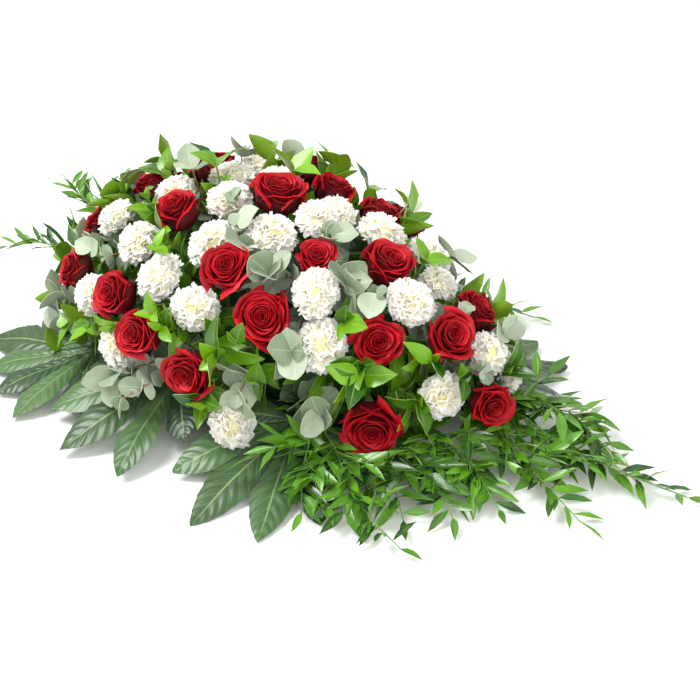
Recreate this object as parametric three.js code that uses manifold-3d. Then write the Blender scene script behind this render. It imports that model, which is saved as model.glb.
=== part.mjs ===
// A teardrop funeral arrangement: red roses and white carnations on a mound of wet floral foam in a
// shallow tray, with eucalyptus, broad ruscus, trailing Italian ruscus and a skirt of aralia leaves.
// Frame: origin at the centre of the tray's underside, +X to the tail, -Y the near side, +Z up.
// A heading turns round +Z from the tail (0) by way of the far side (90); a climb is 90 at the top.

import * as THREE from 'three';
import { mergeVertices } from 'three/addons/utils/BufferGeometryUtils.js';
import Module from 'manifold-3d';

const wasm = await Module();
wasm.setup();

// Driving dimensions in millimetres

const MOUND_TOP = 258;
const MOUND_RIM = 60;
const MOUND_TO_HEAD = 278;
const MOUND_TO_TAIL = 325;
const MOUND_HALF_WIDTH = 208;
const MOUND_TAPER = 0.42;
const MOUND_TAIL_DROP = 45;
const MOUND_HEAD_DROP = 18;

const TRAY_LENGTH = 340;
const TRAY_WIDTH = 188;
const TRAY_HEIGHT = 32;
const TRAY_WALL = 2.2;
const TRAY_DRAFT = 7;
const TRAY_CORNER = 28;

const FOAM_LENGTH = 310;
const FOAM_WIDTH = 158;
const FOAM_BOTTOM = TRAY_WALL + 0.3;
const FOAM_SHOULDER = 84;
const FOAM_BEVEL = 22;
const FOAM_BEVEL_RISE = 38;
const FOAM_CROWN = 28;
const FOAM_CROWN_RISE = 24;
const FOAM_TOP = FOAM_SHOULDER + FOAM_BEVEL_RISE + FOAM_CROWN_RISE;
const FOAM_CORNER = 22;

const HEAD_SEAT = 18;
const SPRIG_SEAT = 11;
const HEAD_GAP = 2.0;
const ROSE_STEM = 2.4;
const CARNATION_STEM = 2.0;
const TWIG = 1.3;
const STUB = 3.0;
const HOLE_CLEARANCE = 0.35;
const HOLE_SIDES = 3;
const BLADE = 0.8;
const GOLDEN_TURN = 137.5;

// Planting plan: heading, climb, lift and width of each head

const ROSES = [
  [146, 63, 0, 56], [180, 55, 0, 54], [233, 64, 0, 56], [192, 37, -3, 52], [216, 25, 0, 50],
  [245, 30, 2, 56], [259, 22, 4, 56], [274, 14, 0, 56], [280, 50, 15, 58], [290, 38, 0, 66],
  [321, 83, 4, 62], [315, 62, -4, 46], [65, 67, -4, 52], [53, 56, -4, 52], [350, 57, -2, 60],
  [317, 32, -2, 56], [310, 0, 4, 68], [341, 32, 8, 58], [14, 34, 0, 50], [344, 4, 0, 52],
  [92, 58, 0, 56], [112, 36, 0, 56], [66, 36, 0, 56], [150, 34, 0, 54], [86, 10, 0, 56],
  [136, 10, 0, 54], [36, 18, 0, 54], [176, 10, 0, 52],
];

const CARNATION_GROUPS = [
  [[232, 49, -1, 52], [255, 42, 2, 52], [232, 24, 0, 48]],
  [[197, 65, 2, 50], [204, 46, 5, 46], [156, 76, 0, 52]],
  [[232, 79, -5, 52], [266, 60, -6, 54], [295, 67, 9, 52]],
  [[271, 36, -6, 52], [249, 12, -5, 50], [283, -2, 12, 52]],
  [[306, 48, 15, 52], [303, 31, 2, 56], [333, 73, 13, 48]],
  [[337, 45, 16, 52], [328, 9, 1, 52], [358, 23, 2, 48]],
  [[26, 73, -3, 48], [25, 62, 2, 52], [87, 80, -5, 48]],
  [[14, 46, 0, 44], [42, 42, 0, 52], [17, 6, 0, 48]],
  [[117, 57, 1, 52], [134, 38, 0, 52], [160, 14, 0, 50]],
  [[90, 36, 0, 52], [60, 12, 0, 52], [112, 10, 0, 52]],
];

// Sprigs of each branch: heading, climb, leaves, leaf length and rise above the mound

const EUCALYPTUS = [
  [[205, 34, 4, 28, 6], [222, 36, 3, 30, 4], [190, 70, 3, 34, 12], [168, 26, 3, 38, 8]],
  [[262, 76, 4, 36, 4], [276, 66, 3, 36, 2], [284, 60, 4, 42, 4], [285, 12, 5, 46, 12], [262, 4, 5, 28, 30]],
  [[292, 52, 4, 42, 4], [325, 66, 4, 44, 6], [318, 52, 4, 46, 4], [326, 48, 3, 40, 6], [296, 28, 5, 44, 8]],
  [[344, 18, 4, 34, 8], [0, 38, 3, 38, 4], [5, 24, 3, 34, 6]],
  [[76, 24, 3, 44, 6], [50, 30, 3, 42, 6], [128, 62, 3, 40, 6], [100, 46, 3, 42, 4], [122, 24, 3, 44, 6]],
];

const BROAD_RUSCUS = [
  [[188, 48, 4, 48, 12], [205, 58, 4, 42, 6], [224, 60, 3, 42, 4], [170, 78, 3, 46, 14], [150, 22, 3, 52, 6]],
  [[245, 55, 4, 44, 4], [250, 50, 3, 40, 6], [262, 30, 4, 50, 4], [252, 22, 3, 48, 4], [280, 22, 4, 60, 4]],
  [[284, 28, 4, 50, 4], [296, 20, 4, 52, 2], [309, 20, 4, 52, 2]],
  [[330, 38, 4, 46, 4], [330, 26, 4, 44, 4], [350, 70, 4, 44, 4], [310, 38, 4, 48, 4], [8, 52, 3, 44, 10]],
  [[60, 84, 4, 52, 12], [140, 50, 3, 52, 6], [110, 68, 3, 50, 8], [70, 50, 3, 52, 4], [100, 22, 3, 54, 6]],
];

// Trailing stems: points that each runs through, then the number and length of its leaves

const ITALIAN_RUSCUS = [
  [
    { through: [[284, -4, 38], [350, -4, 32], [420, -8, 20], [528, -4, 8]], leaves: 19, length: 42 },
    { through: [[276, -24, 34], [340, -40, 27], [392, -70, 17], [446, -100, 8]], leaves: 14, length: 44 },
    { through: [[286, 12, 46], [340, 24, 50], [390, 22, 40], [432, 10, 26]], leaves: 12, length: 44 },
  ],
  [
    { through: [[250, -66, 34], [300, -80, 28], [364, -126, 10]], leaves: 12, length: 44 },
    { through: [[236, -92, 30], [280, -118, 25], [328, -162, 10]], leaves: 11, length: 44 },
    { through: [[214, -114, 26], [246, -146, 23], [286, -192, 10]], leaves: 10, length: 44 },
  ],
  [
    { through: [[176, -146, 36], [216, -184, 28], [258, -212, 16], [304, -232, 8]], leaves: 12, length: 42 },
    { through: [[150, -156, 40], [168, -200, 30], [190, -238, 14]], leaves: 8, length: 40 },
  ],
  [
    { through: [[-244, 0, 152], [-276, 8, 160], [-300, 16, 172]], leaves: 7, length: 32 },
    { through: [[-262, -40, 110], [-296, -56, 118], [-322, -78, 116]], leaves: 7, length: 32 },
    { through: [[-60, 212, 60], [-80, 262, 40], [-110, 300, 14]], leaves: 7, length: 38 },
    { through: [[120, 186, 50], [170, 226, 30], [230, 252, 10]], leaves: 8, length: 38 },
  ],
];

// Aralia leaves: the point where the lobes meet, and the heading and length of each lobe

const ARALIA = [
  { at: [-176, -108], layer: 0, lobes: [[156, 128], [186, 150], [212, 128], [238, 124], [262, 136], [292, 108]] },
  { at: [-44, -122], layer: 1, lobes: [[196, 122], [222, 150], [250, 162], [278, 160], [306, 104], [334, 90]] },
  { at: [112, -118], layer: 0, lobes: [[206, 90], [236, 150], [262, 184], [288, 180], [312, 150], [340, 120]] },
  { at: [214, 70], layer: 1, lobes: [[-16, 110], [14, 128], [44, 140], [72, 140], [100, 120], [128, 90]] },
  { at: [64, 124], layer: 0, lobes: [[24, 110], [52, 140], [80, 164], [108, 156], [136, 130], [164, 100]] },
  { at: [-138, 116], layer: 1, lobes: [[52, 90], [84, 130], [114, 152], [144, 152], [172, 136], [200, 104]] },
];

// Small helpers

const rad = THREE.MathUtils.degToRad;
const vec = (x, y, z) => new THREE.Vector3(x, y, z);

// A point stepped from another along a direction.
function step(from, along, distance) {
  return from.clone().addScaledVector(along, distance);
}

// The place and distance of the nearest point of a segment to a point.
function nearestOnSegment(point, start, end) {
  const along = end.clone().sub(start);
  const t = THREE.MathUtils.clamp(point.clone().sub(start).dot(along) / along.lengthSq(), 0, 1);
  return step(start, along, t);
}

// The least distance between two segments, by turns of nearest points.
function segmentDistance(a0, a1, b0, b1) {
  let least = Infinity;
  for (const seed of [0, 0.5, 1]) {
    let onA = a0.clone().lerp(a1, seed);
    let onB = nearestOnSegment(onA, b0, b1);
    for (let turn = 0; turn < 12; turn += 1) {
      onA = nearestOnSegment(onB, a0, a1);
      onB = nearestOnSegment(onA, b0, b1);
    }
    least = Math.min(least, onA.distanceTo(onB));
  }
  return least;
}

// Surface of the mound

// The point of the mound's surface at a heading and a climb in degrees.
function surfacePoint(heading, climb) {
  const level = Math.cos(rad(climb));
  const toward = Math.cos(rad(heading));
  const x = (toward > 0 ? MOUND_TO_TAIL : MOUND_TO_HEAD) * level * toward;
  const toTail = Math.max(0, x / MOUND_TO_TAIL);
  const toHead = Math.max(0, -x / MOUND_TO_HEAD);
  const halfWidth = MOUND_HALF_WIDTH * (1 - MOUND_TAPER * toTail ** 1.5);
  const rise = MOUND_TOP - MOUND_TAIL_DROP * toTail - MOUND_HEAD_DROP * toHead - MOUND_RIM;
  return vec(x, halfWidth * level * Math.sin(rad(heading)), MOUND_RIM + rise * Math.sin(rad(climb)));
}

// The outward normal there.
function surfaceNormal(heading, climb) {
  const across = surfacePoint(heading + 0.5, climb).sub(surfacePoint(heading - 0.5, climb));
  const along = surfacePoint(heading, climb + 0.5).sub(surfacePoint(heading, climb - 0.5));
  return across.cross(along).normalize();
}

// Heads, spread until none touches another

function makeHead([heading, climb, lift, width], stem) {
  const aim = surfaceNormal(heading, climb);
  const centre = step(surfacePoint(heading, climb), aim, lift - HEAD_SEAT);
  return { centre, aim, radius: width / 2, stem };
}

function spreadHeads(heads) {
  for (let pass = 0; pass < 200; pass += 1) {
    for (let i = 0; i < heads.length; i += 1) {
      for (let j = i + 1; j < heads.length; j += 1) {
        const apart = heads[j].centre.clone().sub(heads[i].centre);
        const distance = apart.length();
        const need = heads[i].radius + heads[j].radius + HEAD_GAP;
        if (distance < need) {
          const push = (need - distance) / 2 / distance;
          heads[i].centre.addScaledVector(apart, -push);
          heads[j].centre.addScaledVector(apart, push);
        }
      }
    }
  }
  for (const head of heads) {
    head.neck = step(head.centre, head.aim, -head.radius - 3);
  }
}

// The point in the foam that a stem at this place grows from.
function footFor(point) {
  return vec(0.4 * point.x, 0.34 * point.y, 45 + 0.4 * (point.z - 45));
}

// How far the foam's flank has drawn in at a height.
function foamInset(z) {
  const low = THREE.MathUtils.clamp((z - FOAM_SHOULDER) / FOAM_BEVEL_RISE, 0, 1);
  const high = THREE.MathUtils.clamp((z - FOAM_SHOULDER - FOAM_BEVEL_RISE) / FOAM_CROWN_RISE, 0, 1);
  return FOAM_BEVEL * low + FOAM_CROWN * high;
}

function insideFoam(point, depth) {
  const inset = foamInset(point.z + depth);
  return Math.abs(point.x) < FOAM_LENGTH / 2 - inset - depth
    && Math.abs(point.y) < FOAM_WIDTH / 2 - inset - depth
    && point.z > FOAM_BOTTOM + depth && point.z < FOAM_TOP - depth;
}

// Whether a point is outside the foam and within a margin of the tray or its inside.
function touchesTray(point, margin) {
  return !insideFoam(point, -1)
    && Math.abs(point.x) < TRAY_LENGTH / 2 + margin
    && Math.abs(point.y) < TRAY_WIDTH / 2 + margin
    && point.z < TRAY_HEIGHT + margin;
}

// Whether a segment passes above the tray's rim and, if asked, stays out of the foam.
function passesOutside(start, end, shunFoam) {
  for (let i = 0; i <= 16; i += 1) {
    const point = start.clone().lerp(end, i / 16);
    if (touchesTray(point, 4) || (shunFoam && insideFoam(point, -2.5))) {
      return false;
    }
  }
  return true;
}

// Whether a stem from start to end keeps clear of the heads and of the stems set so far.
function stemIsClear(start, end, radius, ownHead, heads, stems) {
  for (const head of heads) {
    if (head !== ownHead) {
      const near = nearestOnSegment(head.centre, start, end);
      if (near.distanceTo(head.centre) < head.radius + radius + 0.8) {
        return false;
      }
    }
  }
  return stems.every((stem) => (
    segmentDistance(start, end, stem.start, stem.end) > stem.radius + radius + 0.9
  ));
}

// The foot below a fork: back towards the foam's core until it is well inside.
function footBelow(fork) {
  const inward = vec(0.4 * fork.x, 0.25 * fork.y, 60).sub(fork).normalize();
  let depth = 0;
  while (depth < 160 && !insideFoam(step(fork, inward, depth), 9)) {
    depth += 3;
  }
  return step(fork, inward, depth + 6);
}

// A fork just off the foam from which stems reach all their ends, tried outward on a spiral.
function findFork(targets, radius, heads, stems, name) {
  const middle = vec(0, 0, 0);
  for (const target of targets) {
    middle.add(target.end);
  }
  middle.divideScalar(targets.length);
  const inner = footFor(middle);
  for (let attempt = 0; attempt < 24000; attempt += 1) {
    const reach = 85 * Math.sqrt(attempt / 24000);
    const turn = rad(GOLDEN_TURN * attempt);
    const share = 0.42 + 0.3 * Math.sin(attempt * 0.37);
    const fork = inner.clone().lerp(middle, share).add(
      vec(1.2 * reach * Math.cos(turn), 0.9 * reach * Math.sin(turn), 24 * Math.sin(attempt * 0.61)),
    );
    const foot = footBelow(fork);
    if (insideFoam(fork, -6) || !insideFoam(foot, 9) || !passesOutside(foot, fork, false)
        || !stemIsClear(foot, fork, STUB, null, heads, stems)) {
      continue;
    }
    const works = targets.every((target) => (
      passesOutside(fork, target.end, true)
        && stemIsClear(fork, target.end, radius, target.head, heads, stems)
    ));
    if (works) {
      stems.push({ start: foot, end: fork, radius: STUB, rooted: true });
      for (const target of targets) {
        stems.push({ start: fork, end: target.end, radius });
      }
      return { foot, fork };
    }
  }
  throw new Error('no clear fork for ' + name);
}

// Closed meshes as plain lists

// A skin over rings of points, closed by the first and last entries, which are single points. A
// ring may have twice the points of the one before.
function skin(rings) {
  const points = [];
  const faces = [];
  const starts = rings.map((ring) => {
    const start = points.length;
    points.push(...ring);
    return start;
  });
  for (let k = 0; k + 1 < rings.length; k += 1) {
    const [low, high] = [rings[k], rings[k + 1]];
    const count = Math.max(low.length, high.length);
    const atLow = (i) => starts[k] + (low.length === count ? i % count : 0);
    const atHigh = (i) => starts[k + 1] + (high.length === count ? i % count : 0);
    if (low.length * 2 === high.length) {
      for (let i = 0; i < low.length; i += 1) {
        const [a, b] = [starts[k] + i, starts[k] + ((i + 1) % low.length)];
        const [c, d, e] = [atHigh(2 * i), atHigh(2 * i + 1), atHigh(2 * i + 2)];
        faces.push([a, b, d], [a, d, c], [b, e, d]);
      }
      continue;
    }
    for (let i = 0; i < count; i += 1) {
      if (low.length > 1) {
        faces.push([atLow(i), atLow(i + 1), atHigh(i + 1)]);
      }
      if (high.length > 1) {
        faces.push([atLow(i), atHigh(i + 1), atHigh(i)]);
      }
    }
  }
  return { points, faces };
}

function toGeometry({ points, faces }) {
  const geometry = new THREE.BufferGeometry();
  geometry.setAttribute('position', new THREE.Float32BufferAttribute(points.flatMap((p) => [p.x, p.y, p.z]), 3));
  geometry.setIndex(faces.flat());
  return geometry;
}

function toSolid(geometry) {
  const bare = geometry.clone();
  bare.deleteAttribute('normal');
  bare.deleteAttribute('uv');
  const merged = mergeVertices(bare, 1e-4);
  const vertProperties = new Float32Array(merged.attributes.position.array);
  const triVerts = new Uint32Array(merged.index.array);
  return new wasm.Manifold(new wasm.Mesh({ numProp: 3, vertProperties, triVerts }));
}

function fromSolid(solid) {
  const mesh = solid.getMesh();
  const geometry = new THREE.BufferGeometry();
  geometry.setAttribute('position', new THREE.Float32BufferAttribute(mesh.vertProperties, 3));
  geometry.setIndex(new THREE.Uint32BufferAttribute(mesh.triVerts, 1));
  return geometry;
}

// Fused pieces as one body, without loose scraps.
function fuse(meshes) {
  const whole = wasm.Manifold.union(meshes.map((mesh) => toSolid(toGeometry(mesh))));
  const bodies = whole.decompose().sort((a, b) => b.volume() - a.volume());
  return bodies[0];
}

// Two directions square to an axis.
function crossAxes(axis) {
  const side = Math.abs(axis.z) < 0.9 ? vec(0, 0, 1) : vec(1, 0, 0);
  const u = side.cross(axis).normalize();
  return [u, axis.clone().cross(u)];
}

// A ring round an axis, its radius and height given for each column. It starts towards a direction.
function ring(centre, axis, columns, radiusAt, heightAt, turn, toward = crossAxes(axis)[0]) {
  const u = step(toward, axis, -toward.dot(axis)).normalize();
  const v = axis.clone().cross(u);
  return Array.from({ length: columns }, (_, i) => {
    const angle = turn + (2 * Math.PI * i) / columns;
    return step(centre, axis, heightAt(i))
      .addScaledVector(u, radiusAt(i) * Math.cos(angle))
      .addScaledVector(v, radiusAt(i) * Math.sin(angle));
  });
}

// The stem in the foam, run on a little past its fork.
function stubRod(foot, fork) {
  return rod([foot, step(fork, fork.clone().sub(foot).normalize(), 2)], STUB, 4);
}

// A stem along points, with a few sides and flat ends.
function rod(line, radius, sides) {
  const points = [];
  const faces = [];
  let [u, v] = crossAxes(line[1].clone().sub(line[0]).normalize());
  line.forEach((point, k) => {
    const before = line[Math.max(0, k - 1)];
    const after = line[Math.min(line.length - 1, k + 1)];
    const axis = after.clone().sub(before).normalize();
    u = u.addScaledVector(axis, -u.dot(axis)).normalize();
    v = axis.clone().cross(u);
    for (let i = 0; i < sides; i += 1) {
      const angle = (2 * Math.PI * i) / sides;
      points.push(step(point, u, radius * Math.cos(angle)).addScaledVector(v, radius * Math.sin(angle)));
    }
  });
  for (let k = 0; k + 1 < line.length; k += 1) {
    for (let i = 0; i < sides; i += 1) {
      const a = k * sides + i;
      const b = k * sides + ((i + 1) % sides);
      faces.push([a, b, b + sides], [a, b + sides, a + sides]);
    }
  }
  const last = (line.length - 1) * sides;
  for (let i = 1; i + 1 < sides; i += 1) {
    faces.push([0, i + 1, i], [last, last + i, last + i + 1]);
  }
  return { points, faces };
}

// Rose and carnation heads with their stems

const STEM_SIDES = 5;
const PETAL_COLUMNS = 2 * STEM_SIDES;

// A head of petals on its stem. Each rim is a row of the shares of the head's radius at which its
// petals' middles and the notches between them lie, out from the axis and then up it.
function headSkin({ centre, aim, radius, neck, stem }, foot, turn, rims, heartHeight) {
  const along = neck.clone().sub(foot).normalize();
  const [u] = crossAxes(aim);
  return skin([
    [foot.clone()],
    ring(foot, along, STEM_SIDES, () => stem, () => 0, turn, u),
    ring(neck, aim, STEM_SIDES, () => stem, () => 0, turn),
    ...rims.map(([outer, inner, high, low]) => ring(
      centre,
      aim,
      PETAL_COLUMNS,
      (i) => radius * (i % 2 === 0 ? outer : inner),
      (i) => radius * (i % 2 === 0 ? high : low),
      turn,
    )),
    [step(centre, aim, heartHeight * radius)],
  ]);
}

const ROSE_RIMS = [
  [0.78, 0.7, -0.46, -0.4],
  [0.97, 0.84, 0.12, 0.36],
  [0.74, 0.7, 0.08, 0.02],
  [0.62, 0.76, 0.68, 0.52],
  [0.44, 0.48, 0.3, 0.26],
  [0.44, 0.32, 0.82, 0.7],
];

// The far side's roses have their two outer rows of petals and a bud
const FIRST_FAR_ROSE = 20;
const FAR_ROSE_RIMS = ROSE_RIMS.slice(0, 4);

const CARNATION_RIMS = [
  [0.34, 0.34, -0.42, -0.42],
  [0.98, 0.8, 0.0, 0.22],
  [0.6, 0.7, 0.3, 0.22],
  [0.66, 0.78, 0.7, 0.46],
  [0.46, 0.34, 0.56, 0.66],
];

// Leaf blades

// Half the width of a blade at a part of its length, as a share of its widest.
const OUTLINES = {
  ovate: (t) => Math.sin(Math.PI * t ** 0.8),
  round: (t) => Math.sqrt(Math.max(0, 1 - (2 * t - 1) ** 2)),
  narrow: (t) => Math.sin(Math.PI * t ** 0.9),
};

// A point of a blade: t along it and v across it, folded up along its middle and arched down.
function bladePoint(leaf, t, v) {
  const half = leaf.halfWidth * OUTLINES[leaf.outline](t) * v;
  return step(leaf.base, leaf.along, leaf.length * t)
    .addScaledVector(leaf.up, -leaf.arch * leaf.length * t * t + leaf.fold * Math.abs(half))
    .addScaledVector(leaf.side, half);
}

// The outline of a blade beyond its base, from its right edge round to its left.
const BLADE_EDGES = {
  ovate: [[0.42, -1], [1, 0], [0.42, 1]],
  round: [[0.46, -1], [0.92, -0.62], [0.92, 0.62], [0.46, 1]],
  narrow: [[0.45, -1], [1, 0], [0.45, 1]],
};

// A thin slab from a patch whose first points run leftward round its edge. Each entry is a point,
// the way up there and the half thickness.
function slab(patch, faces, edgeCount) {
  const top = patch.map(({ point, up, half }) => step(point, up, half));
  const bottom = patch.map(({ point, up, half }) => step(point, up, -half));
  const size = patch.length;
  const floors = faces.map(([a, b, c]) => [a + size, c + size, b + size]);
  const sides = [];
  for (let i = 0; i < edgeCount; i += 1) {
    const next = (i + 1) % edgeCount;
    sides.push([next, i, i + size], [next, i + size, next + size]);
  }
  return { points: [...top, ...bottom], faces: [...faces, ...floors, ...sides] };
}

const edgeEntry = (leaf, [t, v]) => ({ point: bladePoint(leaf, t, v), up: leaf.up, half: BLADE / 2 });

// A twig from a fork by way of its gate, with a whorl of leaves round its tip, as one mesh. The
// notches between the leaves run on down the twig as its edges.
function whorlMesh(fork, gate, end, axis, leaves) {
  const [u, v] = crossAxes(axis);
  const turnOf = (leaf) => Math.atan2(leaf.outward.dot(v), leaf.outward.dot(u));
  const around = leaves.map((leaf) => ({ leaf, turn: turnOf(leaf) })).sort((a, b) => a.turn - b.turn);
  const notchTurns = [];
  const edge = [];
  around.forEach(({ leaf, turn }, k) => {
    const next = around[(k + 1) % around.length];
    const gap = (next.turn - turn + 4 * Math.PI) % (2 * Math.PI) || 2 * Math.PI;
    edge.push(...BLADE_EDGES[leaf.outline].map((place) => edgeEntry(leaf, place)));
    const notches = Math.max(1, Math.ceil(gap / rad(150)));
    for (let i = 0; i < notches; i += 1) {
      const notchTurn = turn + (gap * (i + 0.5)) / notches;
      edge.push({
        point: step(end, u, 1.7 * Math.cos(notchTurn)).addScaledVector(v, 1.7 * Math.sin(notchTurn)),
        up: axis,
        half: 0.8,
        notch: notchTurns.length,
      });
      notchTurns.push(notchTurn);
    }
  });
  const size = edge.length;
  const points = [
    ...edge.map(({ point, up, half }) => step(point, up, half)),
    ...edge.map(({ point, up, half }) => step(point, up, -half)),
    step(end, axis, 0.8),
  ];
  const hub = 2 * size;
  const faces = [];
  for (let i = 0; i < size; i += 1) {
    const next = (i + 1) % size;
    faces.push([hub, i, next], [next, i, i + size], [next, i + size, next + size]);
  }
  // The underside of each leaf, from one notch round to the next
  const notchAt = edge.map((entry, i) => (entry.notch === undefined ? -1 : i)).filter((i) => i >= 0);
  notchAt.forEach((first, k) => {
    const last = notchAt[(k + 1) % notchAt.length];
    for (let i = (first + 1) % size; i !== last; i = (i + 1) % size) {
      faces.push([first + size, ((i + 1) % size) + size, i + size]);
    }
  });
  // The twig below
  let upper = notchAt.map((i) => i + size);
  let [du, dv] = [u, v];
  const lineUp = [gate, fork];
  lineUp.forEach((place, k) => {
    const on = k === 0 ? end.clone().sub(fork).normalize() : gate.clone().sub(fork).normalize();
    du = du.clone().addScaledVector(on, -du.dot(on)).normalize();
    dv = on.clone().cross(du);
    const start = points.length;
    for (const turn of notchTurns) {
      points.push(step(place, du, TWIG * Math.cos(turn)).addScaledVector(dv, TWIG * Math.sin(turn)));
    }
    const lower = notchTurns.map((_, i) => start + i);
    lower.forEach((a, i) => {
      const j = (i + 1) % lower.length;
      faces.push([a, lower[j], upper[j]], [a, upper[j], upper[i]]);
    });
    upper = lower;
  });
  for (let i = 1; i + 1 < upper.length; i += 1) {
    faces.push([upper[0], upper[i + 1], upper[i]]);
  }
  return { points, faces };
}

function bladeSamples(leaf) {
  const samples = [];
  for (const t of [0.2, 0.4, 0.6, 0.8, 1]) {
    for (const v of [-1, 0, 1]) {
      samples.push(bladePoint(leaf, t, v));
    }
  }
  return samples;
}

// Whether a leaf keeps clear of the heads, of other nodes' leaves, of its own twig's and of the ground.
function leafIsClear(leaf, node, heads, taken, siblings = []) {
  const samples = bladeSamples(leaf);
  for (const sibling of siblings) {
    const near = bladeSamples(sibling).slice(3);
    if (samples.slice(3).some((a) => near.some((b) => a.distanceToSquared(b) < 30))) {
      return false;
    }
  }
  for (const sample of samples) {
    if (sample.z < 1.2 || touchesTray(sample, 2) || insideFoam(sample, -2)) {
      return false;
    }
    for (const head of heads) {
      if (sample.distanceTo(head.centre) < head.radius + 1.6) {
        return false;
      }
    }
    for (const other of taken) {
      if (other.node !== node && sample.distanceToSquared(other.point) < other.gap * other.gap) {
        return false;
      }
    }
  }
  return true;
}

// A leaf grown from a twig: turned and raised by small steps until it is clear, or left out.
function growLeaf(spec, node, heads, taken, siblings) {
  const [u, v] = crossAxes(spec.axis);
  for (const size of [1, 0.82, 0.66, 0.5]) {
    for (let raise = spec.raise; raise <= 80; raise += 8) {
      for (const swing of [0, 12, -12, 24, -24]) {
        const turn = rad(spec.turn + swing);
        const outward = u.clone().multiplyScalar(Math.cos(turn)).addScaledVector(v, Math.sin(turn));
        const lift = rad(raise);
        const along = outward.clone().multiplyScalar(Math.cos(lift)).addScaledVector(spec.axis, Math.sin(lift));
        const up = spec.axis.clone().multiplyScalar(Math.cos(lift)).addScaledVector(outward, -Math.sin(lift));
        const leaf = {
          ...spec,
          outward,
          along,
          up,
          side: up.clone().cross(along),
          length: spec.length * size,
          halfWidth: spec.halfWidth * size,
        };
        if (leafIsClear(leaf, node, heads, taken, siblings)) {
          takeLeaf(leaf, node, taken);
          return leaf;
        }
      }
    }
  }
  return null;
}

function takeLeaf(leaf, node, taken) {
  for (const point of bladeSamples(leaf)) {
    taken.push({ node, point, gap: 7 });
  }
}

// Sprigs that stand up through the gaps between heads

// A sprig's gate, the point where its stem passes between the heads, nudged clear of them.
function makeSprig([heading, climb, leaves, length, rise], heads, gates) {
  const aim = surfaceNormal(heading, climb);
  const gate = step(surfacePoint(heading, climb), aim, -HEAD_SEAT);
  for (let pass = 0; pass < 120; pass += 1) {
    for (const head of heads) {
      const low = step(gate, aim, -22);
      const high = step(gate, aim, SPRIG_SEAT + rise);
      const near = nearestOnSegment(head.centre, low, high);
      const away = near.clone().sub(head.centre);
      away.addScaledVector(aim, -away.dot(aim));
      const short = head.radius + TWIG + 1.3 - near.distanceTo(head.centre);
      if (short > 0 && away.length() > 1e-6) {
        gate.addScaledVector(away.normalize(), 0.6 * short);
      }
    }
    for (const other of gates) {
      const away = gate.clone().sub(other);
      const short = 7 - away.length();
      if (short > 0) {
        away.addScaledVector(aim, -away.dot(aim));
        gate.addScaledVector(away.normalize(), 0.6 * short);
      }
    }
  }
  gates.push(gate);
  return { gate, aim, leaves, length, rise, end: step(gate, aim, SPRIG_SEAT + rise) };
}

const KINDS = {
  eucalyptus: { outline: 'round', width: 0.44, arch: 0.06, fold: 0.12, raise: 20 },
  broad_ruscus: { outline: 'ovate', width: 0.27, arch: 0.16, fold: 0.22, raise: 26 },
  italian_ruscus: { outline: 'narrow', width: 0.17, arch: 0.1, fold: 0.2, raise: 30 },
};

// How far the leaves of a whorl stand up past their kind's raise, in degrees
const WHORL_RAISES = [0, 32, 12, 46];

function sprigLeaves(sprig, kindName, node, heads, taken, phase) {
  const kind = KINDS[kindName];
  const leaves = [];
  for (let k = 0; k < sprig.leaves; k += 1) {
    const leaf = growLeaf({
      base: sprig.end,
      axis: sprig.aim,
      turn: (360 * k) / sprig.leaves + phase + 22 * Math.sin(5.3 * k + phase),
      raise: kind.raise + WHORL_RAISES[k % WHORL_RAISES.length],
      length: sprig.length * (0.86 + 0.14 * Math.sin(2.4 * k + phase)),
      halfWidth: sprig.length * kind.width,
      arch: kind.arch,
      fold: kind.fold,
      outline: kind.outline,
    }, node, heads, taken, leaves);
    if (leaf) {
      leaves.push(leaf);
    }
  }
  return leaves;
}

// Trailing stems, each a ribbon cut to its rib into alternate leaflets

const RIB_HALF = 1.2;
const RIB_HALF_THICK = 1.0;

// Stations along a smooth path: place, way on, way up and way left.
function trailStations(through, count) {
  const curve = new THREE.CatmullRomCurve3(through.map((p) => vec(...p)), false, 'centripetal');
  return Array.from({ length: count }, (_, k) => {
    const place = curve.getPointAt(k / (count - 1));
    const ahead = curve.getTangentAt(k / (count - 1));
    const up = vec(0, 0, 1).addScaledVector(ahead, -ahead.z).normalize();
    return { place, ahead, up, left: up.clone().cross(ahead) };
  });
}

// A leaflet at a station, on the left (1) or right (-1), or at the end (0).
function growLeaflet(spec, station, hand, wave, node, heads, taken) {
  const kind = KINDS.italian_ruscus;
  const { place, ahead, up, left } = station;
  for (const size of [1, 0.8, 0.62]) {
    for (const lift of hand === 0 ? [0, 14, 28] : [wave, wave + 14, wave - 14, wave + 28, wave + 44, wave + 60]) {
      for (const spread of hand === 0 ? [0] : [46, 32, 60, 20]) {
        const [cs, ss] = [Math.cos(rad(spread)), Math.sin(rad(spread))];
        const [cl, sl] = [Math.cos(rad(lift)), Math.sin(rad(lift))];
        const outward = ahead.clone().multiplyScalar(cs).addScaledVector(left, hand * ss);
        const along = outward.clone().multiplyScalar(cl).addScaledVector(up, sl);
        const leafUp = up.clone().multiplyScalar(cl).addScaledVector(outward, -sl);
        const leaf = {
          base: step(place, left, hand * RIB_HALF),
          along,
          up: leafUp,
          side: leafUp.clone().cross(along),
          length: spec.length * size,
          halfWidth: spec.length * size * kind.width,
          arch: kind.arch,
          fold: kind.fold,
          outline: kind.outline,
        };
        if (leafIsClear(leaf, node, heads, taken)) {
          takeLeaf(leaf, node, taken);
          return leaf;
        }
      }
    }
  }
  return null;
}

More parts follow.
